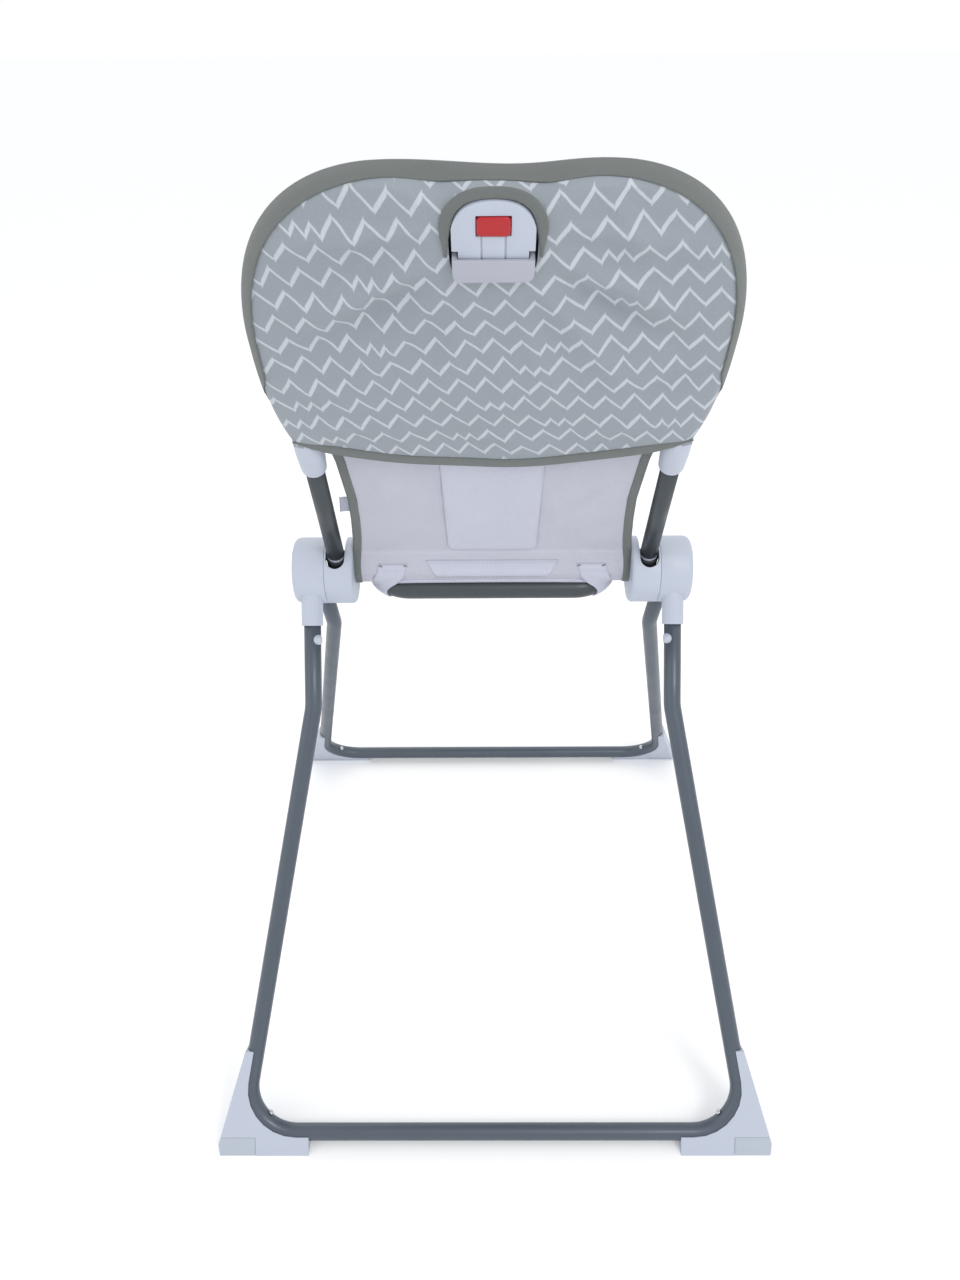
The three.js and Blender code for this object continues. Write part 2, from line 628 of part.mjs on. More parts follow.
const leverOut = HOUSING_REAR + 3.4;
const leverShape = new THREE.Shape();
leverShape.moveTo(-HOUSING_HALF + 7, LEVER_BOTTOM);
leverShape.lineTo(HOUSING_HALF - 7, LEVER_BOTTOM);
leverShape.quadraticCurveTo(HOUSING_HALF, LEVER_BOTTOM, HOUSING_HALF, LEVER_BOTTOM + 7);
leverShape.lineTo(HOUSING_HALF, LEVER_TOP);
leverShape.lineTo(-HOUSING_HALF, LEVER_TOP);
leverShape.lineTo(-HOUSING_HALF, LEVER_BOTTOM + 7);
leverShape.quadraticCurveTo(-HOUSING_HALF, LEVER_BOTTOM, -HOUSING_HALF + 7, LEVER_BOTTOM);
const leverHollow = box([-narrowHalf - RUN, housingFront + 6 - RUN, LEVER_BOTTOM + 3.4],
  [narrowHalf + RUN, HOUSING_REAR + RUN, LEVER_TOP + 1]);
const lever = slabY(leverShape, housingFront + 2, leverOut, 5).subtract(leverHollow);
add(back, 'release_lever', lever, whitePlastic());

// ---------------------------------------------------------------- seat frame
// The seat group's axes: -Y runs forward along the seat.
const seatLine = new BentLine([
  [SEAT_TUBE_X, SEAT_REAR_Y - SEAT_DEPTH, -SEAT_DROP], [SEAT_TUBE_X, SEAT_REAR_Y, -SEAT_DROP],
  [-SEAT_TUBE_X, SEAT_REAR_Y, -SEAT_DROP], [-SEAT_TUBE_X, SEAT_REAR_Y - SEAT_DEPTH, -SEAT_DROP],
], [SEAT_BEND_R, SEAT_BEND_R]);
add(base, 'seat_frame', tube(seatLine, SEAT_TUBE_R), darkPaint());

// Clamp round the side tube, with an ear out to the hub axle.
function seatBracket() {
  const clampY = [SEAT_REAR_Y - SEAT_BEND_R - 44, SEAT_REAR_Y - SEAT_BEND_R - 6];
  const earX = [SEAT_TUBE_X + SEAT_TUBE_R + 2, HUB_IN_X - 4.5];
  const clamp = box([SEAT_TUBE_X - SEAT_TUBE_R - 3, clampY[0], -SEAT_DROP - SEAT_TUBE_R - 3],
    [earX[1], clampY[1], -SEAT_DROP + SEAT_TUBE_R + 3]);
  const ear = slabX(polygon([
    [0, 9.5], [-9, 5], [clampY[0] + 4, -SEAT_DROP + SEAT_TUBE_R + 2],
    [clampY[0] + 4, -SEAT_DROP - 5], [clampY[1], -SEAT_DROP - 5], [6, -8], [9.5, 0], [6.7, 6.7],
  ].reverse()), earX[0], earX[1]);
  const boss = discX(earX[0], HUB_IN_X - RUN, 9);
  const tubeHole = new THREE.CylinderGeometry(SEAT_TUBE_R + GAP, SEAT_TUBE_R + GAP, 400, 18);
  tubeHole.translate(SEAT_TUBE_X, 0, -SEAT_DROP);
  return clamp.add(ear).add(boss).subtract(solid(tubeHole))
    .subtract(discX(earX[0] - 20, HUB_IN_X, AXLE_R + RUN));
}

const frontY = SEAT_REAR_Y - SEAT_DEPTH;
const barY = frontY - 8;
const jointSize = SEAT_TUBE_R + 3;
function seatFrontJoint() {
  const block = box([SEAT_TUBE_X - jointSize, barY - 12, -SEAT_DROP - jointSize],
    [SEAT_TUBE_X + jointSize, frontY + 26, -SEAT_DROP + jointSize]);
  const hole = new THREE.CylinderGeometry(SEAT_TUBE_R + GAP, SEAT_TUBE_R + GAP, 60, 18);
  hole.translate(SEAT_TUBE_X, frontY - GAP + 30, -SEAT_DROP);
  const barHole = discX(SEAT_TUBE_X - 20, SEAT_TUBE_X + 6 + GAP, FRONT_BAR_R + GAP,
    barY, -SEAT_DROP);
  return block.subtract(solid(hole)).subtract(barHole);
}
add(base, 'seat_front_bar', discX(-SEAT_TUBE_X - 6, SEAT_TUBE_X + 6, FRONT_BAR_R,
  barY, -SEAT_DROP), darkPaint());
for (const [word, side] of SIDES) {
  add(base, `seat_bracket_${word}`, onSide(seatBracket(), side), darkPaint());
  add(base, `seat_front_joint_${word}`, onSide(seatFrontJoint(), side), whitePlastic());
}

// ---------------------------------------------------------------- leg rest
const restRingR = FRONT_BAR_R + 4.5;
const restRingX = 70;
const hang = new THREE.Group();
hang.position.set(0, barY, -SEAT_DROP);
hang.rotation.x = rad(LEG_REST_HANG + SEAT_RISE);
base.add(hang);
// In the leg rest's own axes -Y runs from the front bar to its free end.
const restPlate = box([-LEG_REST_HALF + 8, -LEG_REST_LENGTH, -restRingR],
  [LEG_REST_HALF - 8, -restRingR + 2, -restRingR + 5]);
let restFrame = restPlate;
for (const x of [-restRingX, restRingX]) {
  restFrame = restFrame.add(discX(x - 16, x + 16, restRingR))
    .add(box([x - 16, -restRingR, -restRingR], [x + 16, 0, -restRingR + 5]))
    .subtract(discX(x - 20, x + 20, FRONT_BAR_R + RUN));
}
add(hang, 'leg_rest_frame', restFrame, darkPaint());
add(hang, 'leg_rest_pad', box([-LEG_REST_HALF, -LEG_REST_LENGTH - 8, -restRingR + 5 + GAP],
  [LEG_REST_HALF, -restRingR - 6, -restRingR + 5 + LEG_REST_PAD]), greyFabric());

// ---------------------------------------------------------------- seat pad and harness
const padUnder = -SEAT_DROP + SEAT_TUBE_R + 3 + 2 * GAP;
const padOver = padUnder + SEAT_PAD_THICK;
const seatPadBack = -26;
const seatPadFront = barY - 6;
const strapSlotY = -150;
const padSlot = box([-STRAP_WIDTH / 2 - 2, strapSlotY - 5, padUnder - 1],
  [STRAP_WIDTH / 2 + 2, strapSlotY + 5, padOver + 1]);
const seatPad = box([-SEAT_PAD_HALF, seatPadFront, padUnder], [SEAT_PAD_HALF, seatPadBack, padOver]);
add(base, 'seat_pad', seatPad.subtract(padSlot), greyFabric());

const buckleY = -140;
const buckleBase = padOver + 4;
const crotch = box([-STRAP_WIDTH / 2, strapSlotY - STRAP_THICK / 2, padUnder + 2],
  [STRAP_WIDTH / 2, strapSlotY + STRAP_THICK / 2, buckleBase - GAP]);
add(base, 'crotch_strap', crotch, strapFabric());

const buckleHalf = [21, 26, 7];
const buckleButtonHalf = [8, 8];
const buckleMiddle = buckleBase + buckleHalf[2];
const buckle = box([-buckleHalf[0], buckleY - buckleHalf[1], buckleBase],
  [buckleHalf[0], buckleY + buckleHalf[1], buckleBase + 2 * buckleHalf[2]]);
const buttonWell = discZ(0, buckleY, buckleMiddle - 3, buckleMiddle + 20, buckleButtonHalf[0] + RUN);
add(base, 'buckle_body', buckle.subtract(buttonWell), whitePlastic());
add(base, 'buckle_button', discZ(0, buckleY, buckleMiddle + 0.5,
  buckleBase + 2 * buckleHalf[2] + 1, buckleButtonHalf[0]), redPlastic());

function discZ(x, y, z0, z1, r) {
  return postZ(x, y, z0, z1, r, 24);
}

// Waist straps run from the rear corners of the seat to the buckle; they lie just above the pad.
function waistStrap() {
  const from = new THREE.Vector2(SEAT_PAD_HALF - 18, -44);
  const to = new THREE.Vector3(buckleHalf[0] + GAP, buckleY, buckleMiddle);
  const half = STRAP_WIDTH / 2;
  const outline = new THREE.Shape();
  const across = new THREE.Vector2(from.y - to.y, to.x - from.x).normalize();
  outline.moveTo(to.x, to.y - half);
  outline.lineTo(to.x, to.y + half);
  outline.lineTo(from.x - across.x * half, from.y - across.y * half);
  outline.lineTo(from.x + across.x * half, from.y + across.y * half);
  const geometry = new THREE.ExtrudeGeometry(outline, { depth: STRAP_THICK, bevelEnabled: false });
  geometry.translate(0, 0, to.z - STRAP_THICK / 2);
  return solid(geometry);
}

// Shoulder straps lie on the front of the back pad.
const strapX = 52;
const strapTop = 335;
const strapEnd = 96;
const padFace = padRear - BACK_PAD_THICK;
for (const [word, side] of SIDES) {
  add(base, `waist_strap_${word}`, onSide(waistStrap(), side), strapFabric());
  const strap = box([side * strapX - STRAP_WIDTH / 2, padFace - GAP - STRAP_THICK, strapEnd],
    [side * strapX + STRAP_WIDTH / 2, padFace - GAP, strapTop]);
  add(back, `shoulder_strap_${word}`, strap, strapFabric());
}

export default seat;
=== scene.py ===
import json
import math

import bmesh
import bpy
import numpy as np
from mathutils import Matrix, Vector
from mathutils.bvhtree import BVHTree


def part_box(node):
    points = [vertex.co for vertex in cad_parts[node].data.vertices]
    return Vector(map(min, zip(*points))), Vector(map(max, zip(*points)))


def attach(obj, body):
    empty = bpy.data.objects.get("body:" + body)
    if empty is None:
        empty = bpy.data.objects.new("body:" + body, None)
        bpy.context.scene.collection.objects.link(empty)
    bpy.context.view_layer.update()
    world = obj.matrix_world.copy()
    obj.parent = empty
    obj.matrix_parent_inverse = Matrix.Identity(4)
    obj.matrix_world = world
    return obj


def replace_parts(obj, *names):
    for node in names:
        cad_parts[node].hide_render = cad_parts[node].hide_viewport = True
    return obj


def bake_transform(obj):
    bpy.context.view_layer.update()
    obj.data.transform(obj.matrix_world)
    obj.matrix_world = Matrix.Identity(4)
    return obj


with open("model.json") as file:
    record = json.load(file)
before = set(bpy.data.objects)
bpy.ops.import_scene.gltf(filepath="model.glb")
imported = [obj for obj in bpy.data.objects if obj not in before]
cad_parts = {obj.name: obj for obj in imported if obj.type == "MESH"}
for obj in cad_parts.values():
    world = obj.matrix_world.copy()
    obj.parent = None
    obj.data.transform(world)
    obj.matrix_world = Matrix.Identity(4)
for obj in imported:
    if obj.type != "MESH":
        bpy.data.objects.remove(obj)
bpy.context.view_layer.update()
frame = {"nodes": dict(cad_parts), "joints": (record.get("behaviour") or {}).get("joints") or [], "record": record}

MM = 0.001

# ---- places taken from the frame
joints = {j["name"]: j for j in frame["joints"]}
HUB_Z = joints["back_recline"]["pos_m"][2] / MM
squeeze_axis = joints["release_squeeze"]["axis"]
LEAN = math.atan2(squeeze_axis[1], squeeze_axis[2])
SEAT_RISE = math.radians(5)
SIDES = (("left", 1), ("right", -1))
ACROSS = (1, 0, 0)

# leg frames
WHEELBASE = 642
BAR_Z = 13.5
LEG_R = 9
LEG_X_TOP = 191.5
LEG_X_FLOOR = 275.5
LEG_KNEE = 146
LEG_SET = 13
LEG_KNEE_BEND_R = 62
LEG_CORNER_BEND_R = 50
LEG_CROWN = -23.4
leg_reach = math.hypot(WHEELBASE / 2, HUB_Z - BAR_Z)
leg_length = math.sqrt(leg_reach ** 2 - LEG_SET ** 2)
leg_angle = math.atan2(WHEELBASE / 2, HUB_Z - BAR_Z) - math.asin(LEG_SET / leg_reach)

# back frame
BACK_R = 9
HOOP_R = 8
BACK_X = 163.7
BACK_LOW = 13.3
BACK_TOP = 205
HOOP_TOP = 465
HOOP_BEND_R = 90

# seat frame
SEAT_R = 11
SEAT_DROP = 22
SEAT_X = 124
SEAT_REAR_Y = 4
SEAT_DEPTH = 292
SEAT_BEND_R = 36
FRONT_BAR_Y = SEAT_REAR_Y - SEAT_DEPTH - 8
FRONT_BAR_R = 8
LEG_REST_HANG = math.radians(82)


def turn(y, z, angle):
    c, s = math.cos(angle), math.sin(angle)
    return y * c - z * s, y * s + z * c


def on_back(u, v, n):
    """Across, up the back, behind the back tubes' plane."""
    y, z = turn(n, v, -LEAN)
    return Vector((u, y, HUB_Z + z))


BACK_UP = on_back(0, 1, 0) - on_back(0, 0, 0)


def on_seat(x, y, z):
    """Across, towards the rear, above the hubs' axis in the seat's own tilt."""
    y, z = turn(y, z, -SEAT_RISE)
    return Vector((x, y, HUB_Z + z))


def on_rest(x, y, z):
    """The same for the leg rest, from the front bar."""
    y, z = turn(y, z, LEG_REST_HANG + SEAT_RISE)
    return on_seat(x, FRONT_BAR_Y + y, z - SEAT_DROP)


def on_leg(angle):
    def place(x, y, z):
        y, z = turn(y, z, angle)
        return Vector((x, y, HUB_Z + z))
    return place


def smoothstep(a, b, x):
    t = min(1.0, max(0.0, (x - a) / (b - a)))
    return t * t * (3 - 2 * t)


# ---- camera, floor and light
def make_camera():
    """The camera of the photo, fitted to points of the frame."""
    place = Vector((5.16, 905.2, 1039.5)) * MM
    pitch, yaw, roll = math.radians(33.26), math.radians(-0.535), math.radians(-0.554)
    right0, ahead0, up0 = Vector((-1, 0, 0)), Vector((0, -1, 0)), Vector((0, 0, 1))
    level = ahead0 * math.cos(yaw) + right0 * math.sin(yaw)
    right = right0 * math.cos(yaw) - ahead0 * math.sin(yaw)
    ahead = level * math.cos(pitch) - up0 * math.sin(pitch)
    up = up0 * math.cos(pitch) + level * math.sin(pitch)
    across = right * math.cos(roll) + up * math.sin(roll)
    upward = up * math.cos(roll) - right * math.sin(roll)
    data = bpy.data.cameras.new("camera")
    data.lens = 27.03
    data.sensor_width = 36
    data.clip_start = 0.02
    camera = add_object("camera", data)
    turned = Matrix((across, upward, -ahead)).transposed()
    camera.matrix_world = Matrix.Translation(place) @ turned.to_4x4()
    bpy.context.scene.camera = camera


def area_light(name, place, target, size, power):
    data = bpy.data.lights.new(name, "AREA")
    data.size = size
    data.energy = power
    light = add_object(name, data)
    light.location = place
    light.rotation_euler = (Vector(target) - Vector(place)).to_track_quat("-Z", "Y").to_euler()


def make_studio():
    world = bpy.data.worlds.new("studio")
    world.use_nodes = True
    sky = world.node_tree.nodes["Background"].inputs
    sky["Color"].default_value = (0.99, 0.995, 1, 1)
    sky["Strength"].default_value = 1.02
    bpy.context.scene.world = world
    bpy.context.scene.view_settings.view_transform = "Standard"
    area_light("key", (-1.1, 1.9, 2.3), (0, 0.1, 0.6), 0.9, 20)
    area_light("fill", (1.9, 1.1, 1.3), (0, 0, 0.5), 1.8, 5)
    area_light("front", (0.5, -2.2, 1.9), (0, 0, 0.5), 1.8, 8)
    mesh = bpy.data.meshes.new("floor")
    edge = 30
    mesh.from_pydata([(-edge, -edge, 0), (edge, -edge, 0), (edge, edge, 0), (-edge, edge, 0)],
                     [], [(0, 1, 2, 3)])
    floor = add_object("floor", mesh)
    paint = Shader("floor")
    paint.flat("Base Color", (0.97, 0.975, 0.98, 1))
    paint.flat("Roughness", 0.9)
    floor.data.materials.append(paint.material)


# ---- shader building
class Shader:
    """A node material: methods return output sockets, arguments are numbers or sockets."""

    def __init__(self, name):
        self.material = bpy.data.materials.new(name)
        self.material.use_nodes = True
        self.tree = self.material.node_tree
        self.surface = self.tree.nodes["Principled BSDF"]

    def node(self, kind, **settings):
        node = self.tree.nodes.new("ShaderNode" + kind)
        for name, value in settings.items():
            setattr(node, name, value)
        return node

    def put(self, socket, value):
        if isinstance(value, bpy.types.NodeSocket):
            self.tree.links.new(value, socket)
        elif value is not None:
            socket.default_value = value

    def flat(self, name, value):
        self.surface.inputs[name].default_value = value

    def feed(self, name, value):
        self.put(self.surface.inputs[name], value)

    def math(self, operation, a, b=None):
        node = self.node("Math", operation=operation)
        self.put(node.inputs[0], a)
        self.put(node.inputs[1], b)
        return node.outputs[0]

    def add(self, a, b):
        return self.math("ADD", a, b)

    def sub(self, a, b):
        return self.math("SUBTRACT", a, b)

    def times(self, a, b):
        return self.math("MULTIPLY", a, b)

    def vector(self, x, y, z=0.0):
        node = self.node("CombineXYZ")
        for socket, value in zip(node.inputs, (x, y, z)):
            self.put(socket, value)
        return node.outputs[0]

    def split(self, vector):
        node = self.node("SeparateXYZ")
        self.put(node.inputs[0], vector)
        return node.outputs

    def coords(self, kind="Object"):
        """Object coordinates, or the flat plan coordinates for "UV", in millimetres."""
        return self.scaled(self.node("TexCoord").outputs[kind], 1 / MM)

    def scaled(self, vector, factor):
        node = self.node("VectorMath", operation="SCALE")
        self.put(node.inputs[0], vector)
        self.put(node.inputs["Scale"], factor)
        return node.outputs[0]

    def noise(self, where, size, detail=2.0, roughness=0.5):
        """Noise from 0 to 1 whose blotches are about `size` millimetres."""
        node = self.node("TexNoise")
        self.put(node.inputs["Vector"], where)
        self.put(node.inputs["Scale"], 1 / size)
        self.put(node.inputs["Detail"], detail)
        self.put(node.inputs["Roughness"], roughness)
        return node.outputs["Fac"]

    def wander(self, where, size, amount, detail=1):
        """Noise that swings to both sides of zero, over a range of `amount`."""
        return self.times(self.sub(self.noise(where, size, detail), 0.5), amount)

    def white(self, where):
        node = self.node("TexWhiteNoise")
        self.put(node.inputs["Vector"], where)
        return node.outputs["Value"]

    def ramp(self, value, low, high, out_low=0.0, out_high=1.0):
        node = self.node("MapRange")
        for socket, v in zip(node.inputs, (value, low, high, out_low, out_high)):
            self.put(socket, v)
        return node.outputs[0]

    def mix(self, factor, a, b):
        node = self.node("Mix", data_type="RGBA")
        self.put(node.inputs["Factor"], factor)
        self.put(node.inputs["A"], a)
        self.put(node.inputs["B"], b)
        return node.outputs["Result"]

    def bump(self, height, depth, normal=None):
        """Bump whose height socket, from 0 to 1, stands for `depth` millimetres."""
        node = self.node("Bump")
        self.put(node.inputs["Height"], height)
        self.put(node.inputs["Distance"], depth * MM)
        self.put(node.inputs["Normal"], normal)
        return node.outputs[0]


def rgb(r, g, b):
    """Linear colour from 0-255 display values."""
    def linear(c):
        c /= 255
        return c / 12.92 if c <= 0.04045 else ((c + 0.055) / 1.055) ** 2.4
    return (linear(r), linear(g), linear(b), 1)


def shade(colour, factor):
    return tuple(c * factor for c in colour[:3]) + (1,)


def varied(s, where, colour, size, spread):
    """The colour, drifting lighter and darker by `spread` in blotches."""
    return s.mix(s.noise(where, size, 3), shade(colour, 1 - spread), shade(colour, 1 + spread))


# ---- materials
def powder_coat(name, colour, roughness=0.36):
    s = Shader(name)
    where = s.coords()
    s.feed("Base Color", varied(s, where, colour, 40, 0.07))
    s.flat("Metallic", 0.35)
    s.feed("Roughness", s.ramp(s.noise(where, 25, 3), 0.3, 0.7, roughness - 0.05, roughness + 0.07))
    s.flat("Coat Weight", 0.15)
    s.flat("Coat Roughness", 0.25)
    s.feed("Normal", s.bump(s.noise(where, 1.6, 2), 0.06))
    return s.material


def moulded(name, colour, roughness=0.45, grain=0.03, scuff=0.06):
    """Moulded plastic: fine spark grain, faint flow marks and light scuffs."""
    s = Shader(name)
    where = s.coords()
    marks = s.ramp(s.noise(where, 9, 5, 0.7), 0.62, 0.74)
    base = varied(s, where, colour, 60, 0.02)
    s.feed("Base Color", s.mix(s.times(marks, scuff), base, shade(colour, 0.72)))
    s.feed("Roughness", s.ramp(s.noise(where, 12, 4), 0.3, 0.7, roughness - 0.05, roughness + 0.08))
    s.feed("Normal", s.bump(s.noise(where, 0.5, 1), grain))
    return s.material


def weave(s, where, pitch):
    """Plain weave: threads over and under each other, from 0 to 1."""
    x, y, _ = s.split(where)
    turns = 2 * math.pi / pitch
    warp = s.math("SINE", s.times(x, turns))
    weft = s.math("SINE", s.times(y, turns))
    return s.ramp(s.times(warp, weft), -1, 1)


def cloth_surface(s, colour, where, plan, pitch=0.8, roughness=0.85, relief=0.12):
    """Sets the shader to a woven cloth of this colour socket or value."""
    threads = weave(s, plan, pitch)
    slub = s.noise(plan, 2.4, 3, 0.6)
    tone = s.add(s.ramp(threads, 0, 1, 0.95, 1.03), s.ramp(slub, 0.3, 0.7, -0.03, 0.03))
    s.feed("Base Color", s.scaled(colour, tone))
    s.flat("Roughness", roughness)
    s.flat("Sheen Weight", 0.18)
    s.flat("Sheen Roughness", 0.5)
    soft = s.bump(s.noise(where, 14, 3), 0.5)
    s.feed("Normal", s.bump(s.add(threads, s.times(slub, 0.5)), relief, soft))


def plain_cloth(name, colour, pitch, roughness, relief=0.12):
    s = Shader(name)
    where = s.coords()
    cloth_surface(s, varied(s, where, colour, 45, 0.04), where, where, pitch, roughness, relief)
    return s.material


# the print: pitch and sideways step of the rows, width and half height of a peak, the share of
# the peak that rises, and half the width of the rising and the falling stroke
ROW_PITCH = 21.6
ROW_SHIFT = 8
PERIOD = 22.5
PEAK = 7.2
RISE_SHARE = 0.38
STROKE_RISING = 1.6
STROKE_FALLING = 0.95
LANE = 211
DRIFT, DRIFT_SIZE = 14, 110
WOBBLE, WOBBLE_SIZE = 5, 60
DOUBLED_PEAKS = 0.1


def zigzag_row(s, u, v, row):
    """Mask of one hand-drawn zigzag line; `row` is a socket with the row's number."""
    lane = s.times(row, LANE)
    drift = s.wander(s.vector(u, lane), DRIFT_SIZE, DRIFT)
    wobble = s.wander(s.vector(u, lane, 300), WOBBLE_SIZE, WOBBLE)
    along = s.add(s.sub(drift, u), s.times(row, ROW_SHIFT))
    steps = s.math("DIVIDE", along, PERIOD)
    cell = s.math("FLOOR", steps)
    chance = s.white(s.vector(cell, row, 1))
    twice = s.math("GREATER_THAN", chance, 1 - DOUBLED_PEAKS)
    part = s.math("FRACT", s.times(s.math("FRACT", steps), s.add(twice, 1)))
    rising = s.math("LESS_THAN", part, RISE_SHARE)
    up = s.times(part, 1 / RISE_SHARE)
    down = s.math("POWER", s.math("MAXIMUM", s.times(s.sub(1, part), 1 / (1 - RISE_SHARE)), 0), 1.12)
    rise = s.add(s.times(rising, up), s.times(s.sub(1, rising), down))
    tall = s.sub(s.ramp(s.white(s.vector(cell, row, 9)), 0, 1, 1.75, 2.1), s.times(twice, 0.8))
    height = s.sub(s.times(rise, tall), 1)
    middle = s.times(s.add(row, 0.5), ROW_PITCH)
    line = s.add(s.add(middle, wobble), s.times(height, PEAK))
    steep = 2 * PEAK / (PERIOD * RISE_SHARE)
    shallow = 2 * PEAK / (PERIOD * (1 - RISE_SHARE))
    across = s.ramp(rising, 0, 1, 1 / math.hypot(1, shallow), 1 / math.hypot(1, steep))
    away = s.times(s.math("ABSOLUTE", s.sub(v, line)), across)
    brush = s.wander(s.vector(u, v, 5), 7, 0.9, 2)
    half = s.add(s.ramp(rising, 0, 1, STROKE_FALLING, STROKE_RISING), brush)
    return s.ramp(s.sub(half, away), -0.4, 0.4)


def printed_cloth(name, ground, line):
    """Grey cloth printed with rows of pale, hand-drawn zigzags."""
    s = Shader(name)
    where = s.coords()
    plan = s.coords("UV")
    u, v, _ = s.split(plan)
    low = s.math("FLOOR", s.sub(s.math("DIVIDE", v, ROW_PITCH), 0.5))
    mask = s.math("MAXIMUM", zigzag_row(s, u, v, low), zigzag_row(s, u, v, s.add(low, 1)))
    base = varied(s, where, ground, 70, 0.035)
    cloth_surface(s, s.mix(mask, base, line), where, plan, 0.8, 0.88)
    return s.material


RIB_PITCH = 1.5


def webbing_cloth(name, colour):
    """Narrow webbing: ribs across its width, from the plan coordinates."""
    s = Shader(name)
    where = s.coords()
    plan = s.coords("UV")
    along = s.split(plan)[1]
    ribs = s.ramp(s.math("SINE", s.times(along, 2 * math.pi / RIB_PITCH)), -1, 1)
    s.feed("Base Color", varied(s, where, colour, 30, 0.06))
    s.flat("Roughness", 0.8)
    s.flat("Sheen Weight", 0.2)
    s.feed("Normal", s.bump(s.add(ribs, weave(s, plan, 1.1)), 0.2))
    return s.material


def steel_finish(name):
    s = Shader(name)
    where = s.coords()
    s.feed("Base Color", varied(s, where, rgb(196, 198, 202), 12, 0.05))
    s.flat("Metallic", 1.0)
    s.feed("Roughness", s.ramp(s.noise(where, 6, 3), 0.3, 0.7, 0.25, 0.4))
    return s.material


SLATE = powder_coat("slate_powder_coat", rgb(77, 86, 97))
DARK = powder_coat("dark_powder_coat", rgb(62, 68, 73), 0.42)
DARK_PLASTIC = moulded("dark_plastic", rgb(50, 54, 58), 0.5)
WHITE = moulded("white_plastic", rgb(176, 183, 197), 0.42)
# The release lever's white plastic, made darker to paint the shade on its downward-facing face
LEVER_WHITE_PAINTED_SHADE = moulded("lever_plastic_painted_shade", rgb(163, 165, 177), 0.42)
RED = moulded("red_plastic", rgb(168, 16, 24), 0.34, 0.015, 0.02)
RUBBER = moulded("pale_rubber", rgb(170, 177, 190), 0.7, 0.08)
STEEL = steel_finish("plated_steel")
PRINT = printed_cloth("zigzag_cloth", rgb(141, 148, 156), rgb(184, 190, 197))
BINDING = plain_cloth("binding_cloth", rgb(102, 107, 106), 0.7, 0.8, relief=0.18)
LINING = plain_cloth("lining_cloth", rgb(180, 181, 194), 0.6, 0.7)
BOARD = plain_cloth("board_cloth", rgb(184, 187, 202), 0.6, 0.62)
WEBBING = webbing_cloth("grey_webbing", rgb(98, 104, 104))
THREAD = plain_cloth("thread", rgb(122, 126, 127), 0.4, 0.7)
WHITE_THREAD = plain_cloth("white_thread", rgb(166, 167, 176), 0.4, 0.7)


# ---- mesh building
def add_object(name, data):
    made = bpy.data.objects.new(name, data)
    bpy.context.scene.collection.objects.link(made)
    return made


def new_piece(name, points, faces, material, body=None, plan=None):
    """A smooth mesh piece from points in millimetres."""
    mesh = bpy.data.meshes.new(name)
    mesh.from_pydata([tuple(Vector(p) * MM) for p in points], [], faces)
    mesh.validate()
    mesh.materials.append(material)
    shade_smooth(mesh)
    piece = add_object(name, mesh)
    if plan is not None:
        set_plan(piece, plan)
    face_out(piece)
    if body:
        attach(piece, body)
    return piece


def shade_smooth(mesh):
    mesh.polygons.foreach_set("use_smooth", [True] * len(mesh.polygons))


def face_out(piece):
    work = bmesh.new()
    work.from_mesh(piece.data)
    bmesh.ops.recalc_face_normals(work, faces=work.faces)
    work.to_mesh(piece.data)
    work.free()


def grid_faces(rows, columns, closed=False):
    """Faces over rows of points; `closed` joins the last row to the first."""
    faces = []
    for row in range(rows if closed else rows - 1):
        low, high = row * columns, (row + 1) % rows * columns
        for k in range(columns - 1):
            faces.append((low + k, low + k + 1, high + k + 1, high + k))
    return faces


def tube_faces(rings, sides, closed=False, first=0):
    """Faces over rings of points that start at point `first`; a tube that isn't closed is capped."""
    faces = []
    for ring in range(rings if closed else rings - 1):
        low, high = first + ring * sides, first + (ring + 1) % rings * sides
        for k in range(sides):
            m = (k + 1) % sides
            faces.append((low + k, low + m, high + m, high + k))
    if not closed:
        faces.append(tuple(range(first, first + sides)))
        faces.append(tuple(range(first + (rings - 1) * sides, first + rings * sides)))
    return faces


def thicken(piece, thickness, offset=0):
    thick = piece.modifiers.new("thick", "SOLIDIFY")
    thick.thickness = thickness * MM
    thick.offset = offset


def round_edges(piece, width, segments=1, degrees=30):
    edge = piece.modifiers.new("edge", "BEVEL")
    edge.width = width * MM
    edge.segments = segments
    edge.limit_method = "ANGLE"
    edge.angle_limit = math.radians(degrees)
    return edge


def set_plan(piece, plan):
    """Flat plan coordinates, in metres, that carry the print and the weave."""
    layer = piece.data.uv_layers.new(name="plan")
    for loop in piece.data.loops:
        a, b = plan[loop.vertex_index]
        layer.data[loop.index].uv = (a * MM, b * MM)


def bent_path(corners, radii, degrees=5):
    """Straight runs joined by arcs."""
    points = [Vector(p) for p in corners]
    path = [points[0]]
    for i, radius in enumerate(radii, 1):
        into = (points[i] - points[i - 1]).normalized()
        out = (points[i + 1] - points[i]).normalized()
        angle = into.angle(out)
        start = points[i] - into * radius * math.tan(angle / 2)
        to_centre = (out - into * out.dot(into)).normalized()
        steps = max(2, math.ceil(math.degrees(angle) / degrees))
        for k in range(steps + 1):
            a = angle * k / steps
            path.append(start + into * radius * math.sin(a) + to_centre * radius * (1 - math.cos(a)))
    path.append(points[-1])
    return path


def evaluated(piece):
    return piece.evaluated_get(bpy.context.evaluated_depsgraph_get())


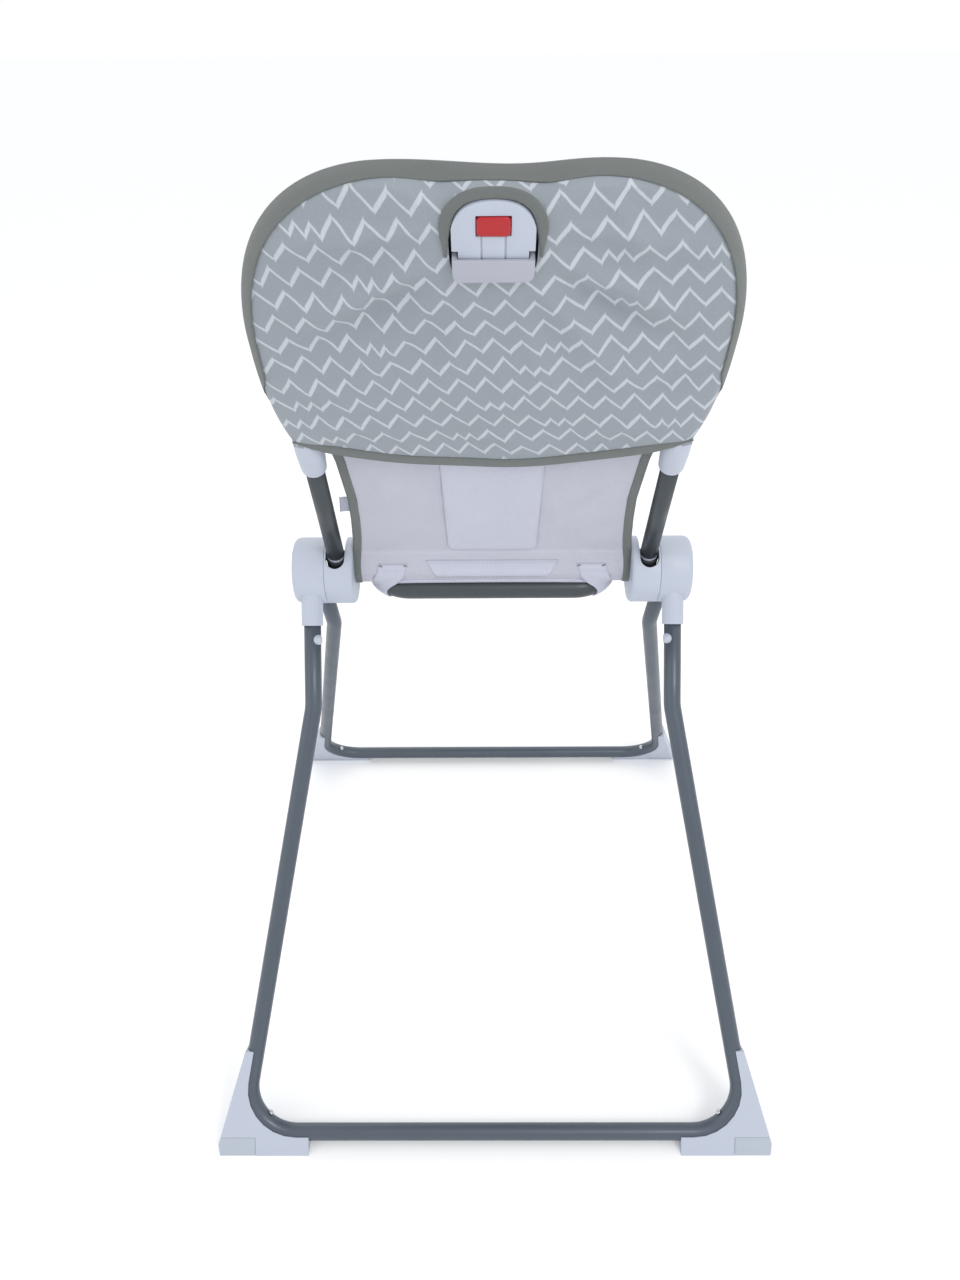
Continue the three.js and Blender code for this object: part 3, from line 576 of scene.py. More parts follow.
def sweep(name, path, section, material, body=None, across=None, closed=False):
    """Carries a closed section, a list of (side, up) or a function of the station that returns
    one, along a path. `across` is the section's side direction, or a list of one per station."""
    count = len(path)
    stations = []
    previous = None
    for i, p in enumerate(path):
        if closed:
            tangent = (path[(i + 1) % count] - path[i - 1]).normalized()
        else:
            tangent = (path[min(i + 1, count - 1)] - path[max(i - 1, 0)]).normalized()
        if across is not None:
            side = Vector(across[i] if isinstance(across, list) else across)
        elif previous is None:
            side = tangent.orthogonal()
        else:
            side = previous
        side = (side - tangent * side.dot(tangent)).normalized()
        previous = side
        stations.append((p, side, tangent.cross(side)))
    points = []
    plan = []
    run = 0.0
    for i, (p, side, up) in enumerate(stations):
        shape = section(i) if callable(section) else section
        run += (p - path[i - 1]).length if i else 0
        girth = 0.0
        for k, (a, b) in enumerate(shape):
            points.append(p + side * a + up * b)
            girth += math.dist(shape[k], shape[k - 1]) if k else 0
            plan.append((girth, run))
    faces = tube_faces(count, len(shape), closed)
    return new_piece(name, points, faces, material, body, plan)


def circle(radius, sides=32):
    turns = [2 * math.pi * k / sides for k in range(sides)]
    return [(radius * math.cos(t), radius * math.sin(t)) for t in turns]


def band(width, thick, steps=4):
    """Flat section with rounded edges."""
    r = thick / 2
    shape = []
    for centre, start in ((width / 2 - r, -90), (-width / 2 + r, 90)):
        for k in range(steps + 1):
            a = math.radians(start + 180 * k / steps)
            shape.append((centre + r * math.cos(a), r * math.sin(a)))
    return shape


def smooth_line(points, step=4.0):
    """Points spread evenly, `step` apart, along a smooth curve through the given ones."""
    knots = [Vector(p) for p in points]
    fine = []
    for i in range(len(knots) - 1):
        a, b = knots[max(i - 1, 0)], knots[i]
        c, d = knots[i + 1], knots[min(i + 2, len(knots) - 1)]
        pieces = max(2, int((c - b).length / step))
        for k in range(pieces):
            t = k / pieces
            fine.append(0.5 * ((2 * b) + (c - a) * t + (2 * a - 5 * b + 4 * c - d) * t ** 2
                               + (3 * b - a - 3 * c + d) * t ** 3))
    fine.append(knots[-1])
    return fine


def soften(path, rounds=3):
    """Averages neighbours, so that a strap spans small dips."""
    line = list(path)
    for _ in range(rounds):
        middle = [(a + 2 * b + c) / 4 for a, b, c in zip(line, line[1:], line[2:])]
        line = line[:1] + middle + line[-1:]
    return line


def spread(points, count):
    """`count` points at equal steps along a polyline."""
    data = np.array([tuple(p) for p in points], float)
    steps = np.concatenate([[0], np.cumsum(np.linalg.norm(np.diff(data, axis=0), axis=1))])
    at = np.linspace(0, steps[-1], count)
    return np.stack([np.interp(at, steps, column) for column in data.T], axis=1).tolist()


def curved(knots, steps):
    """Points along joined cubic curves. Every third knot is on the line; the others pull it."""
    points = []
    for i in range(0, len(knots) - 1, 3):
        for k in range(steps):
            t = k / steps
            w = ((1 - t) ** 3, 3 * t * (1 - t) ** 2, 3 * t * t * (1 - t), t ** 3)
            points.append(tuple(sum(wi * p[c] for wi, p in zip(w, knots[i:i + 4])) for c in (0, 1)))
    return points + knots[-1:]


def rounded_outline(half, low, high, corner, steps=8):
    points = []
    for cu, cv, start in ((half - corner, low + corner, -90), (half - corner, high - corner, 0),
                          (-half + corner, high - corner, 90), (-half + corner, low + corner, 180)):
        for k in range(steps):
            t = math.radians(start + 90 * k / (steps - 1))
            points.append((cu + corner * math.cos(t), cv + corner * math.sin(t)))
    return points


def fold_sum(folds, u, v, power=1.0, start=1.0, flare=0.0):
    """Height at (u, v) of soft folds: start (u, v), end (u, v), half width, depth. A fold is
    `start` of its width where it begins and grows by `flare` of it towards its end."""
    total = 0.0
    for (u0, v0), (u1, v1), width, depth in folds:
        du, dv = u1 - u0, v1 - v0
        t = ((u - u0) * du + (v - v0) * dv) / (du * du + dv * dv)
        if 0 < t < 1:
            off = abs((u - u0) * dv - (v - v0) * du) / math.hypot(du, dv)
            across = off / (width * (start + flare * t))
            total += depth * math.sin(math.pi * t) ** power * math.exp(-across ** 2)
    return total


# ---- tubes
def leg_tube(prefix, angle, set_off, body):
    place = on_leg(angle)
    corners = [(LEG_X_TOP, LEG_CROWN), (LEG_X_TOP, -LEG_KNEE), (LEG_X_FLOOR, -leg_length),
               (-LEG_X_FLOOR, -leg_length), (-LEG_X_TOP, -LEG_KNEE), (-LEG_X_TOP, LEG_CROWN)]
    path = bent_path([place(x, set_off, z) for x, z in corners],
                     [LEG_KNEE_BEND_R, LEG_CORNER_BEND_R, LEG_CORNER_BEND_R, LEG_KNEE_BEND_R])
    piece = sweep(f"{prefix}_leg_tube", path, circle(LEG_R), SLATE, body)
    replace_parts(piece, f"{prefix}_leg_frame")


def frame_tube(name, path, radius, body, node):
    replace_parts(sweep(name, path, circle(radius), DARK, body), node)


def arch(place, half, low, high, radius):
    """A U of tube in the plane of `place`, from (half, low) over `high` to (-half, low)."""
    corners = [place(half, low), place(half, high), place(-half, high), place(-half, low)]
    return bent_path(corners, [radius] * 2)


def make_tubes():
    leg_tube("rear", leg_angle, LEG_SET, "root")
    leg_tube("front", -leg_angle, -LEG_SET, "front_legs")
    hoop = arch(lambda u, v: on_back(u, v, 0), BACK_X, BACK_TOP + 1, HOOP_TOP, HOOP_BEND_R)
    frame_tube("hoop_tube", hoop, HOOP_R, "backrest", "back_hoop")
    for word, side in SIDES:
        path = [on_back(side * BACK_X, v, 0) for v in (BACK_LOW, BACK_TOP)]
        frame_tube(f"lower_back_tube_{word}", path, BACK_R, "backrest", f"back_tube_{word}")
    path = arch(lambda x, y: on_seat(x, y, -SEAT_DROP), SEAT_X, SEAT_REAR_Y - SEAT_DEPTH,
                SEAT_REAR_Y, SEAT_BEND_R)
    frame_tube("seat_tube", path, SEAT_R, "seat", "seat_frame")
    path = [on_seat(x, FRONT_BAR_Y, -SEAT_DROP) for x in (-SEAT_X - 6, SEAT_X + 6)]
    frame_tube("front_bar_tube", path, FRONT_BAR_R, "seat", "seat_front_bar")


# ---- CAD nodes that stay
FINISHES = {
    "leg_paint": SLATE, "frame_paint": DARK, "dark_plastic": DARK_PLASTIC, "white_plastic": WHITE,
    "foot_rubber": RUBBER, "steel": STEEL, "red_plastic": RED, "print_fabric": PRINT,
    "lining_fabric": LINING, "webbing": WEBBING,
}
EDGE, FOOT_EDGE = 0.9, 2.6


def dress_nodes():
    """Finish and softened edges for every CAD node; the soft ones are replaced further on."""
    slots = {row["node"]: row["material_slot"] for row in frame["record"]["subparts"]}
    for name, node in frame["nodes"].items():
        # the release lever gets the darker copy of the white plastic, whose colour paints the shade on its
        # downward face
        finish = LEVER_WHITE_PAINTED_SHADE if name == "release_lever" else FINISHES[slots[name]]
        node.data.materials.clear()
        node.data.materials.append(finish)
        shade_smooth(node.data)
        weld = node.modifiers.new("weld", "WELD")
        weld.merge_threshold = 0.02 * MM
        flat = node.modifiers.new("flat", "DECIMATE")
        flat.decimate_type = "DISSOLVE"
        flat.angle_limit = math.radians(1)
        edge = round_edges(node, FOOT_EDGE if "foot" in name else EDGE, 3, 38)
        edge.harden_normals = True


# ---- hood
HOOD_TOP = 475.4
HOOD_HALF = 188
HOOD_HEM_SIDE = 218
HOOD_HEM_MIDDLE = 181.5
HOOD_HEM_HALF = 176
HOLE_HALF = 30
HOLE_BOTTOM = 408
HOLE_TOP = 472
HOLE_REAR = 27
HOLE_MIDDLE = (HOLE_TOP + HOLE_BOTTOM) / 2
ROLL = 12.5
TAPE_END_V = 262
TAPE_FACE = 11.5


def hood_outline():
    """Outline (u, v) of the hood seen from behind, from the left hem corner over the top."""
    knots = [
        (HOOD_HEM_HALF, HOOD_HEM_SIDE), (HOOD_HALF - 1, 250), (HOOD_HALF + 1, 286),
        (HOOD_HALF, 328), (HOOD_HALF, 400), (158, 467),
        (84, HOOD_TOP), (50, HOOD_TOP + 3), (18, HOOD_TOP - 3),
        (-12, HOOD_TOP - 3), (-42, HOOD_TOP - 3), (-55, HOOD_TOP + 3),
        (-88, HOOD_TOP), (-158, 467), (-HOOD_HALF, 404),
        (-HOOD_HALF, 330), (-HOOD_HALF - 1, 286), (-HOOD_HALF + 1, 250),
        (-HOOD_HEM_HALF, HOOD_HEM_SIDE)]
    return spread(curved(knots, 80), 260)


def hem_curve(count=130):
    """The hem from the right corner to the left one, sagging in the middle."""
    points = []
    for k in range(count):
        u = -HOOD_HEM_HALF + 2 * HOOD_HEM_HALF * k / (count - 1)
        share = abs(u) / HOOD_HEM_HALF
        sag = (1 - share ** 2) * (HOOD_HEM_SIDE - HOOD_HEM_MIDDLE)
        points.append((u, HOOD_HEM_SIDE - sag + 1.2 * math.sin(u / 21) * (1 - share)))
    return points


def hole_point(angle):
    """Point (u, v) of the opening round the handle, in direction `angle` from its middle."""
    c, s = math.cos(angle), math.sin(angle)
    half = (HOLE_TOP - HOLE_BOTTOM) / 2
    power = 2.6 if s > 0 else 5
    reach = (abs(c / HOLE_HALF) ** power + abs(s / half) ** power) ** (-1 / power)
    return reach * c, HOLE_MIDDLE + reach * s


# soft folds of the hood: start (u, v), end (u, v), half width, depth
FOLDS = [
    ((36, 425), (150, 345), 11, 2.6), ((40, 408), (165, 300), 12, -2.2),
    ((30, 400), (120, 275), 10, 2.0), ((-38, 425), (-150, 352), 11, 2.4),
    ((-40, 408), (-160, 318), 12, -2.2), ((-28, 400), (-112, 280), 11, 2.2),
    ((38, 445), (170, 420), 10, 2.0), ((-38, 448), (-168, 415), 10, 1.8),
    ((12, 402), (45, 262), 13, 1.6), ((-12, 402), (-50, 255), 13, 1.4),
    ((160, 250), (60, 225), 9, 1.6), ((-165, 255), (-70, 222), 9, 1.6),
    ((176, 300), (100, 262), 10, 1.8), ((-178, 310), (-105, 268), 10, -1.5),
    ((20, 230), (-40, 205), 10, 1.2), ((70, 468), (120, 400), 9, 1.5),
    ((-72, 468), (-118, 404), 9, 1.5), ((170, 360), (90, 388), 9, 1.2),
]
FOLD_SCALE = 2.3


def fold_height(u, v):
    ripple = 0.5 * math.sin(u / 17 + v / 31) * math.cos(v / 23)
    return FOLD_SCALE * fold_sum(FOLDS, u, v, 0.8, 0.6, 0.6) + ripple


def ray_angle(point):
    """Direction of an outline's point from the middle of the handle's opening."""
    return math.atan2(point[1] - HOLE_MIDDLE, point[0])


def hood_point(edge, on_hem, share):
    """Point of the hood's rear panel on the ray from the handle's opening (share 0) to a point
    of its outline (share 1): u, v, n and the v at which the print is read."""
    start = hole_point(ray_angle(edge))
    length = math.dist(start, edge)
    u = start[0] + (edge[0] - start[0]) * share
    v = start[1] + (edge[1] - start[1]) * share
    near = length * share
    left = length - near
    settled = 13 + 1.5 * math.sin(math.pi * share)
    if on_hem:
        settled -= 8 * (1 - min(1, abs(edge[0]) / 165) ** 2) * smoothstep(90, 10, left)
    lift = (HOLE_REAR - settled) * math.exp(-(near / 48) ** 2)
    far = settled + lift + fold_height(u, v) * smoothstep(0, 16, near) * smoothstep(0, 20, left)
    if not on_hem:
        g = max(0.0, 1 - left / ROLL)
        far = 1 + (far - 1) * math.sqrt(max(0.0, 1 - g * g))
    close = HOLE_REAR + (1 - HOLE_REAR) * share ** 1.4
    tall = smoothstep(14, 52, length)
    n = close + (far - close) * tall
    print_v = v + 0.9 * (HOLE_REAR - n) * (1 - tall)
    return u, v, n, print_v


def make_hood():
    outline = hood_outline()
    hem = hem_curve()
    rim = [(p, False) for p in outline] + [(p, True) for p in hem[1:-1]]
    shares = [0.5 - 0.5 * math.cos(math.pi * (k / 46)) for k in range(47)]
    points, plan = [], []
    for edge, on_hem in rim:
        for share in shares:
            u, v, n, print_v = hood_point(edge, on_hem, share)
            points.append(on_back(u, v, n))
            plan.append((u, print_v))
    faces = grid_faces(len(rim), len(shares), closed=True)
    hood = new_piece("hood_cover", points, faces, PRINT, "backrest", plan)
    thicken(hood, 0.9, -1)
    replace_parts(hood, "back_hood")
    make_edge_tape(outline)
    make_hem_tape(hem)
    make_opening_tape()


def make_edge_tape(outline):
    """Tape rolled over the outer edge, laid along the hood's own profile at every ray."""
    points, plan = [], []
    columns = 14
    run = 0
    used = [(p, q, r) for p, q, r in zip(outline, outline[1:], outline[2:]) if q[1] > TAPE_END_V]
    for before, edge, after in used:
        along = Vector((after[0] - before[0], after[1] - before[1])).normalized()
        outward = Vector((along.y, -along.x))
        length = math.dist(hole_point(ray_angle(edge)), edge)
        fine = [(0.2, -1.6), (0.1, -0.4)]
        for k in range(41):
            u, v, n, _ = hood_point(edge, False, 1 - min(1, 24 / length) * k / 40)
            fine.append(((u - edge[0]) * outward.x + (v - edge[1]) * outward.y, n))
        steps = [0.0]
        for p, q in zip(fine, fine[1:]):
            steps.append(steps[-1] + math.dist(p, q))
        grown = smoothstep(TAPE_END_V, TAPE_END_V + 42, edge[1])
        reach = (1.7 + TAPE_FACE + 3.7 * abs(outward.x)) * (0.15 + 0.85 * grown)
        run += math.dist(before, edge)
        for k in range(columns):
            at = reach * k / (columns - 1)
            out = float(np.interp(at, steps, [p[0] for p in fine]))
            n = float(np.interp(at, steps, [p[1] for p in fine]))
            tilt = smoothstep(0, 13, at) * math.pi / 2
            out += 1.0 * math.cos(tilt)
            n += 1.2 * math.sin(tilt)
            points.append(on_back(edge[0] + out * outward.x, edge[1] + out * outward.y, n))
            plan.append((run, at))
    faces = grid_faces(len(used), columns)
    tape = new_piece("hood_edge_tape", points, faces, BINDING, "backrest", plan)
    thicken(tape, 1.0)


def tapered(count, reach, end, grown):
    """A band for each of `count` stations that grows over `reach` stations from either end."""
    shares = [smoothstep(0, reach, min(i, count - 1 - i)) for i in range(count)]
    bands = [band(end[0] + grown[0] * share, end[1] + grown[1] * share) for share in shares]
    return lambda i: bands[i]


def make_hem_tape(hem):
    """Tape folded over the hood's lower edge."""
    line = []
    for edge in hem:
        u, v, n, _ = hood_point(edge, True, 1.0)
        line.append(on_back(0.985 * u, v + 2.6 + 2.4 * abs(u / HOOD_HEM_HALF), n + 0.4))
    shape = tapered(len(line), 14, (2.5, 1.2), (8.2, 1.4))
    sweep("hood_hem_tape", line, shape, BINDING, "backrest", BACK_UP)


def make_opening_tape():
    """Tape round the handle's opening: an arch whose ends run out beside the lever."""
    count = 61
    arch, outward = [], []
    for k in range(count):
        u, v = hole_point(math.radians(-24 + 228 * k / (count - 1)))
        out = Vector((u / HOLE_HALF, 0, (v - HOLE_MIDDLE) / 40)).normalized()
        arch.append(on_back(u + 2.6 * out.x, v + 2.6 * out.z, HOLE_REAR + 0.6))
        outward.append(on_back(out.x, out.z, 0) - on_back(0, 0, 0))
    shape = tapered(count, 12, (2.5, 1.6), (5.7, 1.2))
    sweep("handle_opening_tape", arch, shape, BINDING, "backrest", outward)


# ---- stitching
def stitches(name, path, material, body, length=3.2, gap=1.6, radius=0.38):
    """A row of sewn stitches along a path, as one piece."""
    line = [Vector(p) for p in path]
    runs = [0.0]
    for a, b in zip(line, line[1:]):
        runs.append(runs[-1] + (b - a).length)

    def at(distance):
        for k in range(len(line) - 1):
            if distance <= runs[k + 1]:
                t = (distance - runs[k]) / max(runs[k + 1] - runs[k], 1e-6)
                return line[k].lerp(line[k + 1], t)
        return line[-1]

    points, faces = [], []
    start = 0.0
    while start + length < runs[-1]:
        a, b = at(start), at(start + length)
        ahead = (b - a).normalized()
        side = ahead.orthogonal().normalized()
        up = ahead.cross(side)
        base = len(points)
        for share, thick in ((0, 0.35), (0.15, 0.9), (0.85, 0.9), (1, 0.35)):
            for k in range(6):
                t = math.pi * k / 3
                out = side * math.cos(t) + up * math.sin(t)
                points.append(a.lerp(b, share) + out * radius * thick)
        faces += tube_faces(4, 6, first=base)
        start += length + gap
    return new_piece(name, points, faces, material, body)


# ---- lining behind the back
LINING_TOP = 226
COLLAR_LOW = 27
LINING_LOW = -5.5
LINING_N = -5.0
AXLE_BULGE = 15.5
LOOP_INNER_U = 89
LOOP_WIDTH = 31
LOOP_ROWS = 48
HEM_V = -4


def lining_half(v):
    """Half width of the lining to the outside of its piping."""
    heights = [-15, 20, 50, 85, 117, 175, 226]
    return float(np.interp(v, heights, [148, 147.5, 143.5, 141, 140, 144, 152]))


# folds of the lining, in the same terms as the hood's
LINING_FOLDS = [
    ((-128, 20), (-60, 110), 14, 1.8), ((128, 20), (62, 105), 14, 1.8),
    ((-125, 150), (-70, 75), 12, -1.5), ((122, 180), (75, 100), 11, 1.6),
    ((-110, 200), (-60, 150), 9, 1.4), ((132, 95), (95, 130), 8, 1.0),
    ((-60, 215), (-85, 120), 8, -1.1), ((62, 215), (58, 60), 9, -1.2),
    ((-58, 28), (-50, 130), 8, -1.1),
]
LINING_FOLD_SCALE = 1.25


def lining_n(u, v):
    """How far behind the tubes' plane the lining lies: folds, ripple, and the bulge at the axles."""
    calm = smoothstep(24, 50, v)
    folds = LINING_FOLD_SCALE * fold_sum(LINING_FOLDS, u, v)
    edge = 1 - smoothstep(0, 40, lining_half(v) - abs(u))
    ripple = 0.45 * math.sin(u / 9 + v / 15) * math.cos(v / 11 - u / 19) * (1 - edge)
    return LINING_N + AXLE_BULGE * smoothstep(34, 7, v) + calm * (folds + ripple)


def strip(low, high, half, rows, columns, lift=0.0):
    """Points (u, v) and places of a cloth on the lining, as rows from `low` to `high`."""
    points, plan = [], []
    for v in np.linspace(low, high, rows + 1):
        for u in np.linspace(-half(v), half(v), columns + 1):
            points.append(on_back(u, v, lining_n(u, v) + lift))
            plan.append((u, v))
    return points, grid_faces(rows + 1, columns + 1), plan


def make_lining():
    points, faces, plan = strip(LINING_LOW, LINING_TOP, lambda v: lining_half(v) - 2, 130, 150)
    lining = new_piece("lining_cloth", points, faces, LINING, plan=plan)
    thicken(lining, 0.7, -1)
    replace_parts(lining, "back_lining")
    bend_at_hub(lining)
    for word, side in SIDES:
        path = []
        for v in np.linspace(LINING_LOW, LINING_TOP, 60):
            u = side * (lining_half(v) - 4.5)
            path.append(on_back(u, v, lining_n(u, v) + 0.3))
        piping = sweep(f"side_piping_{word}", path, band(9.5, 3.4), BINDING, across=ACROSS)
        bend_at_hub(piping)
        inner = [on_back(side * (lining_half(v) - 7.6), v, LINING_N + 2.2)
                 for v in np.linspace(HEM_V + 22, LINING_TOP - 14, 60)]
        stitches(f"side_piping_stitches_{word}", inner, THREAD, "backrest")
    make_board()
    make_lining_hem()
    make_loops()
    make_tag()


def bend_at_hub(piece):
    """Bakes a piece's placement into its mesh."""
    tuple(on_back(0, 26, -5) * MM)
    tuple(on_back(0, -16, -5) * MM)
    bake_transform(piece)


def make_board():
    """Stiffener sewn under the lining: a flat patch with rounded corners, a little wider above."""
    half, low, high, corner = 46, 33, 224, 9
    rings = [(0, 0.0), (0.4, 1.0), (1.4, 1.7), (4, 1.95), (12, 2.0), (26, 2.0), (45.5, 2.0)]
    steps = 12
    points, plan = [], []
    for inset, rise in rings:
        ring = rounded_outline(max(half - inset, 0.5), low + inset, high - inset,
                               max(corner - inset, 0.4), steps)
        for u, v in ring:
            u += 0.02 * (v - low) * (u / half)
            points.append(on_back(u, v, LINING_N + 0.9 + rise))
            plan.append((u, v))
    faces = tube_faces(len(rings), 4 * steps)
    board = new_piece("stiffener_patch", points, faces, BOARD, "backrest", plan)
    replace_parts(board, "back_board")


def make_lining_hem():
    """Facing strip over the lower edge, the hem's roll under it, and the facing's stitching."""
    low, high, narrow, wide = 3, 22, 58, 70

    def half(v):
        return narrow + (wide - narrow) * (v - low) / (high - low)

    points, faces, plan = strip(low, high, half, 10, 48, 1.1)
    facing = new_piece("lining_facing", points, faces, BOARD, plan=plan)
    thicken(facing, 0.9)
    bend_at_hub(facing)
    middle = (low + high) / 2
    path = []
    for u, v in ((-wide, high), (wide, high), (narrow, low), (-narrow, low), (-wide, high)):
        seam_v = middle + (v - middle) * 0.8
        path.append(on_back(u * 0.96, seam_v, lining_n(u, seam_v) + 1.8))
    seam = stitches("lining_facing_stitches", path, WHITE_THREAD, None, 2.6, 1.6, 0.3)
    bend_at_hub(seam)
    line = [on_back(u, HEM_V - 1.2 * (u / 100) ** 2, lining_n(u, HEM_V) + 0.9)
            for u in range(-102, 103, 6)]
    bend_at_hub(sweep("lining_hem_roll", line, band(5.5, 3), BOARD, across=BACK_UP))


def loop_column(side, share):
    """One lengthwise line of a loop: down the lining, over its hem and round the tube's bend."""
    u = LOOP_INNER_U + LOOP_WIDTH * share
    line = [on_back(side * (u + slip), v, lining_n(u + slip, v) + lift)
            for v, slip, lift in ((19, 0, 1.3), (11, 3, 1.6), (3, 6, 2.2), (-4, 9, 3.6))]
    bend = math.radians(33 + 34 * share)
    cx = SEAT_X - SEAT_BEND_R + SEAT_BEND_R * math.sin(bend)
    cy = SEAT_REAR_Y - SEAT_BEND_R * (1 - math.cos(bend))
    for around in range(15, -166, -15):
        reach = (SEAT_R + 1.4) * math.cos(math.radians(around))
        rise = (SEAT_R + 1.4) * math.sin(math.radians(around))
        x, y = cx + math.sin(bend) * reach, cy + math.cos(bend) * reach
        line.append(on_seat(side * x, y, rise - SEAT_DROP))
    return soften([Vector(p) for p in spread(soften(line, 1), LOOP_ROWS + 1)], 2)


def make_loops():
    """Loops sewn to the lining's lower corners that wrap the seat tube at its bends."""
    columns = 12
    for word, side in SIDES:
        points = []
        for i in range(columns + 1):
            points += loop_column(side, i / columns)
        loop = new_piece(f"tube_loop_{word}", points, grid_faces(columns + 1, LOOP_ROWS + 1), BOARD)
        thicken(loop, 1.2)
        bend_at_hub(loop)
        for k, u in enumerate((LOOP_INNER_U + 1, LOOP_INNER_U + LOOP_WIDTH - 4)):
            dots = [on_back(side * (u + out), v, lining_n(u, v) + 2.3)
                    for out, v in ((0, 17.5), (3.4, 18.3))]
            tack = sweep(f"loop_bartack_{word}_{k}", dots, band(2.2, 1.2), THREAD, "backrest",
                         BACK_UP)
            round_edges(tack, 0.3)


def make_tag():
    """Blank care label folded into the left side seam."""
    points = []
    columns, rows = 10, 14
    for j in range(rows + 1):
        v = 97 + 23 * j / rows
        for i in range(columns + 1):
            t = i / columns
            u = lining_half(v) - 5 + 15.5 * t - 1.6 * t * j / rows
            points.append(on_back(u, v - 3 * t, LINING_N - 0.6 - 2.4 * math.sin(1.9 * t)))
    faces = grid_faces(rows + 1, columns + 1)
    tag = new_piece("care_label", points, faces, BOARD, "backrest")
    thicken(tag, 0.5)


def make_tube_collars():
    """Pale lips where the back tubes enter the hubs."""
    for word, side in SIDES:
        path = [on_back(side * BACK_X, COLLAR_LOW + up, 0) for up in (0, 2, 4.5)]
        collar = sweep(f"tube_collar_{word}", path, circle(BACK_R + 0.35, 36), WHITE, "backrest",
                       ACROSS)
        round_edges(collar, 1, 3)


def make_button():
    """Red release button with rounded corners, in the CAD node's own place."""
    node = frame["nodes"]["release_button"]
    local = [back_coords(node.matrix_world @ v.co) for v in node.data.vertices]
    low = [min(c[k] for c in local) for k in range(3)]
    high = [max(c[k] for c in local) for k in range(3)]
    half, tall = (high[0] - low[0]) / 2, (high[1] - low[1]) / 2
    middle = ((high[0] + low[0]) / 2, (high[1] + low[1]) / 2)
    points = []
    rings = [(0, low[2]), (0, high[2] - 1.4), (0.3, high[2] - 0.6), (1.1, high[2] - 0.1),
             (2.6, high[2])]
    for inset, n in rings:
        outline = rounded_outline(half - inset, -tall + inset, tall - inset, max(3.2 - inset, 0.6))
        points += [on_back(middle[0] + a, middle[1] + b, n) for a, b in outline]
    faces = tube_faces(len(rings), len(points) // len(rings))
    button = new_piece("release_button_cap", points, faces, RED, "release_button_body")
    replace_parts(button, "release_button")


# ---- padded pieces
def back_coords(p):
    n, v = turn(p.y / MM, p.z / MM - HUB_Z, LEAN)
    return p.x / MM, v, n


def seat_coords(p):
    y, z = turn(p.y / MM, p.z / MM - HUB_Z, SEAT_RISE)
    return p.x / MM, y, z


def rest_coords(p):
    x, y, z = seat_coords(p)
    y, z = turn(y - FRONT_BAR_Y, z + SEAT_DROP, -(LEG_REST_HANG + SEAT_RISE))
    return x, y, z


SWELL_FRAMES = 20
CUSHION_CLOTH = {
    "vertex_group_mass": "seam", "quality": 4, "mass": 0.25, "tension_stiffness": 10,
    "compression_stiffness": 8, "shear_stiffness": 4, "bending_stiffness": 0.6,
    "use_pressure": True, "uniform_pressure_force": 4,
}


def swell(piece, pinned, cap):
    """Inflates a closed cloth a little: cloth simulation with inner pressure and a limited move."""
    rest = np.array([v.co for v in piece.data.vertices])
    scene = bpy.context.scene
    group = piece.vertex_groups.new(name="seam")
    group.add([i for i, v in enumerate(piece.data.vertices) if pinned(v.co)], 1.0, "REPLACE")
    cloth = piece.modifiers.new("cloth", "CLOTH")
    for name, value in CUSHION_CLOTH.items():
        setattr(cloth.settings, name, value)
    cloth.settings.effector_weights.gravity = 0
    cloth.collision_settings.use_collision = False
    cloth.point_cache.frame_start = 1
    cloth.point_cache.frame_end = SWELL_FRAMES
    for number in range(1, SWELL_FRAMES + 1):
        scene.frame_set(number)
    view = evaluated(piece)
    moved = np.array([v.co for v in view.data.vertices])
    piece.modifiers.remove(cloth)
    piece.vertex_groups.remove(group)
    scene.frame_set(1)
    step = moved - rest
    reach = np.linalg.norm(step, axis=1, keepdims=True)
    limited = rest + step * np.minimum(1, cap * MM / np.maximum(reach, 1e-9))
    piece.data.vertices.foreach_set("co", limited.astype(np.float32).ravel())
    piece.data.update()


SEAM_SHARE = 0.3
CHANNEL_HALF = 120


